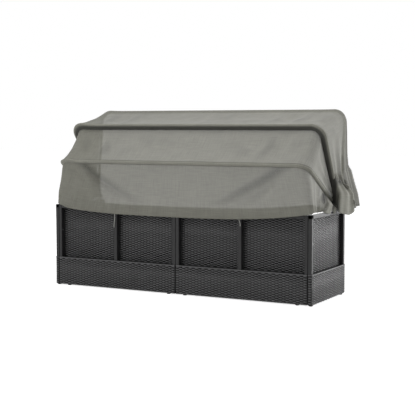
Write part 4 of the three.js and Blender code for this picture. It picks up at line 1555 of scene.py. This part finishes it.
def area_light(name, place, target, size, energy):
    """A square soft light at a place, turned to its target."""
    data = bpy.data.lights.new(name, "AREA")
    data.shape = "SQUARE"
    data.size = size
    data.energy = energy
    light = link_new(name, data)
    light.location = place
    light.rotation_euler = heading_turn(Vector(target) - Vector(place))


def floor_material():
    """A pale floor, white to the camera, in gloss and through the cloth, that keeps the object's shadow."""
    material, tree, shader = new_material("floor")
    shader.inputs["Base Color"].default_value = (FLOOR_GREY, FLOOR_GREY, FLOOR_GREY, 1)
    shader.inputs["Roughness"].default_value = 0.9
    shader.inputs["Specular IOR Level"].default_value = 0.0
    rays = add_node(tree, "ShaderNodeLightPath").outputs
    glow = add_node(tree, "ShaderNodeEmission", {"Color": (1, 1, 1, 1), "Strength": FLOOR_GLOW})
    nothing = add_node(tree, "ShaderNodeEmission", {"Strength": 0.0})
    seen = worked(tree, "ADD", rays["Is Camera Ray"], rays["Is Glossy Ray"])
    share = worked(tree, "ADD", seen, rays["Is Transmission Ray"], clamp=True)
    mix = add_node(tree, "ShaderNodeMixShader", {0: share, 1: nothing.outputs[0], 2: glow.outputs[0]})
    both = add_node(tree, "ShaderNodeAddShader", {0: shader.outputs[0], 1: mix.outputs[0]})
    tree.links.new(both.outputs[0], tree.nodes["Material Output"].inputs["Surface"])
    return material


class DAYBED_OT_stage(bpy.types.Operator):
    """Set up the camera, floor, world and lights"""

    bl_idname = "daybed.stage"
    bl_label = "Studio"

    def execute(self, context):
        settings = context.scene.daybed_stage
        data = bpy.data.cameras.new("camera")
        data.lens = settings.lens
        data.sensor_width = 36.0
        data.sensor_fit = "HORIZONTAL"
        data.clip_end = 100.0
        camera = link_new("camera", data)
        camera.location = settings.camera
        camera.rotation_euler = heading_turn(settings.heading)
        context.scene.camera = camera
        context.scene.view_settings.view_transform = "Standard"
        corners = np.array([(-1, -1, 0), (1, -1, 0), (1, 1, 0), (-1, 1, 0)]) * FLOOR_HALF
        floor = mesh_piece("floor", corners, [np.array([[0, 1, 2, 3]])], floor_material(), smooth=False)
        self.world(context)
        for name, lamp in LAMPS.items():
            area_light(name, *lamp)
        return {"FINISHED"}

    def world(self, context):
        """A soft grey surround that is white where the camera sees it, also through the cloth."""
        world = bpy.data.worlds.new("studio")
        context.scene.world = world
        world.use_nodes = True
        tree = world.node_tree
        tree.nodes.clear()
        rays = add_node(tree, "ShaderNodeLightPath").outputs
        seen = worked(tree, "ADD", rays["Is Camera Ray"], rays["Is Transmission Ray"], clamp=True)
        soft, white = (
            add_node(tree, "ShaderNodeBackground", {"Color": (1, 1, 1, 1), "Strength": strength}).outputs[0]
            for strength in (SURROUND_LIGHT, 1.0)
        )
        mix = add_node(tree, "ShaderNodeMixShader", {0: seen, 1: soft, 2: white})
        tree.links.new(mix.outputs[0], tree.nodes.new("ShaderNodeOutputWorld").inputs["Surface"])


# Add-on


class DAYBED_PT_panel(bpy.types.Panel):
    """The daybed's sizes and steps"""

    bl_idname = "DAYBED_PT_panel"
    bl_label = "Daybed"
    bl_space_type = "VIEW_3D"
    bl_region_type = "UI"
    bl_category = "Daybed"

    def draw(self, context):
        for step in STEPS:
            self.layout.operator(step.bl_idname)
        for group in SETTINGS:
            values = getattr(context.scene, group)
            for name in values.bl_rna.properties.keys():
                if name not in ("rna_type", "name"):
                    self.layout.prop(values, name)


SETTINGS = {
    "daybed_weave": WeaveSettings,
    "daybed_canopy": CanopySettings,
    "daybed_cushions": CushionSettings,
    "daybed_stage": StageSettings,
}
STEPS = (
    DAYBED_OT_stage,
    DAYBED_OT_ties,
    DAYBED_OT_finishes,
    DAYBED_OT_frames,
    DAYBED_OT_weave,
    DAYBED_OT_cushions,
    DAYBED_OT_canopy,
    DAYBED_OT_tails,
)
CLASSES = (*SETTINGS.values(), *STEPS, DAYBED_PT_panel)


def register():
    """Registers the classes and hangs the settings on the scene."""
    for made in CLASSES:
        bpy.utils.register_class(made)
    for name, group in SETTINGS.items():
        setattr(bpy.types.Scene, name, PointerProperty(type=group))


def unregister():
    """Takes away what register added."""
    for name in SETTINGS:
        delattr(bpy.types.Scene, name)
    for made in reversed(CLASSES):
        bpy.utils.unregister_class(made)


def main():
    """Registers the add-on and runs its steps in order."""
    register()
    MATERIALS.update(make_materials())
    bpy.ops.daybed.stage()
    bpy.ops.daybed.ties()
    bpy.ops.daybed.finishes()
    bpy.ops.daybed.frames()
    bpy.ops.daybed.weave()
    bpy.ops.daybed.cushions()
    bpy.ops.daybed.canopy()
    bpy.ops.daybed.tails()


if __name__ == "__main__":
    main()
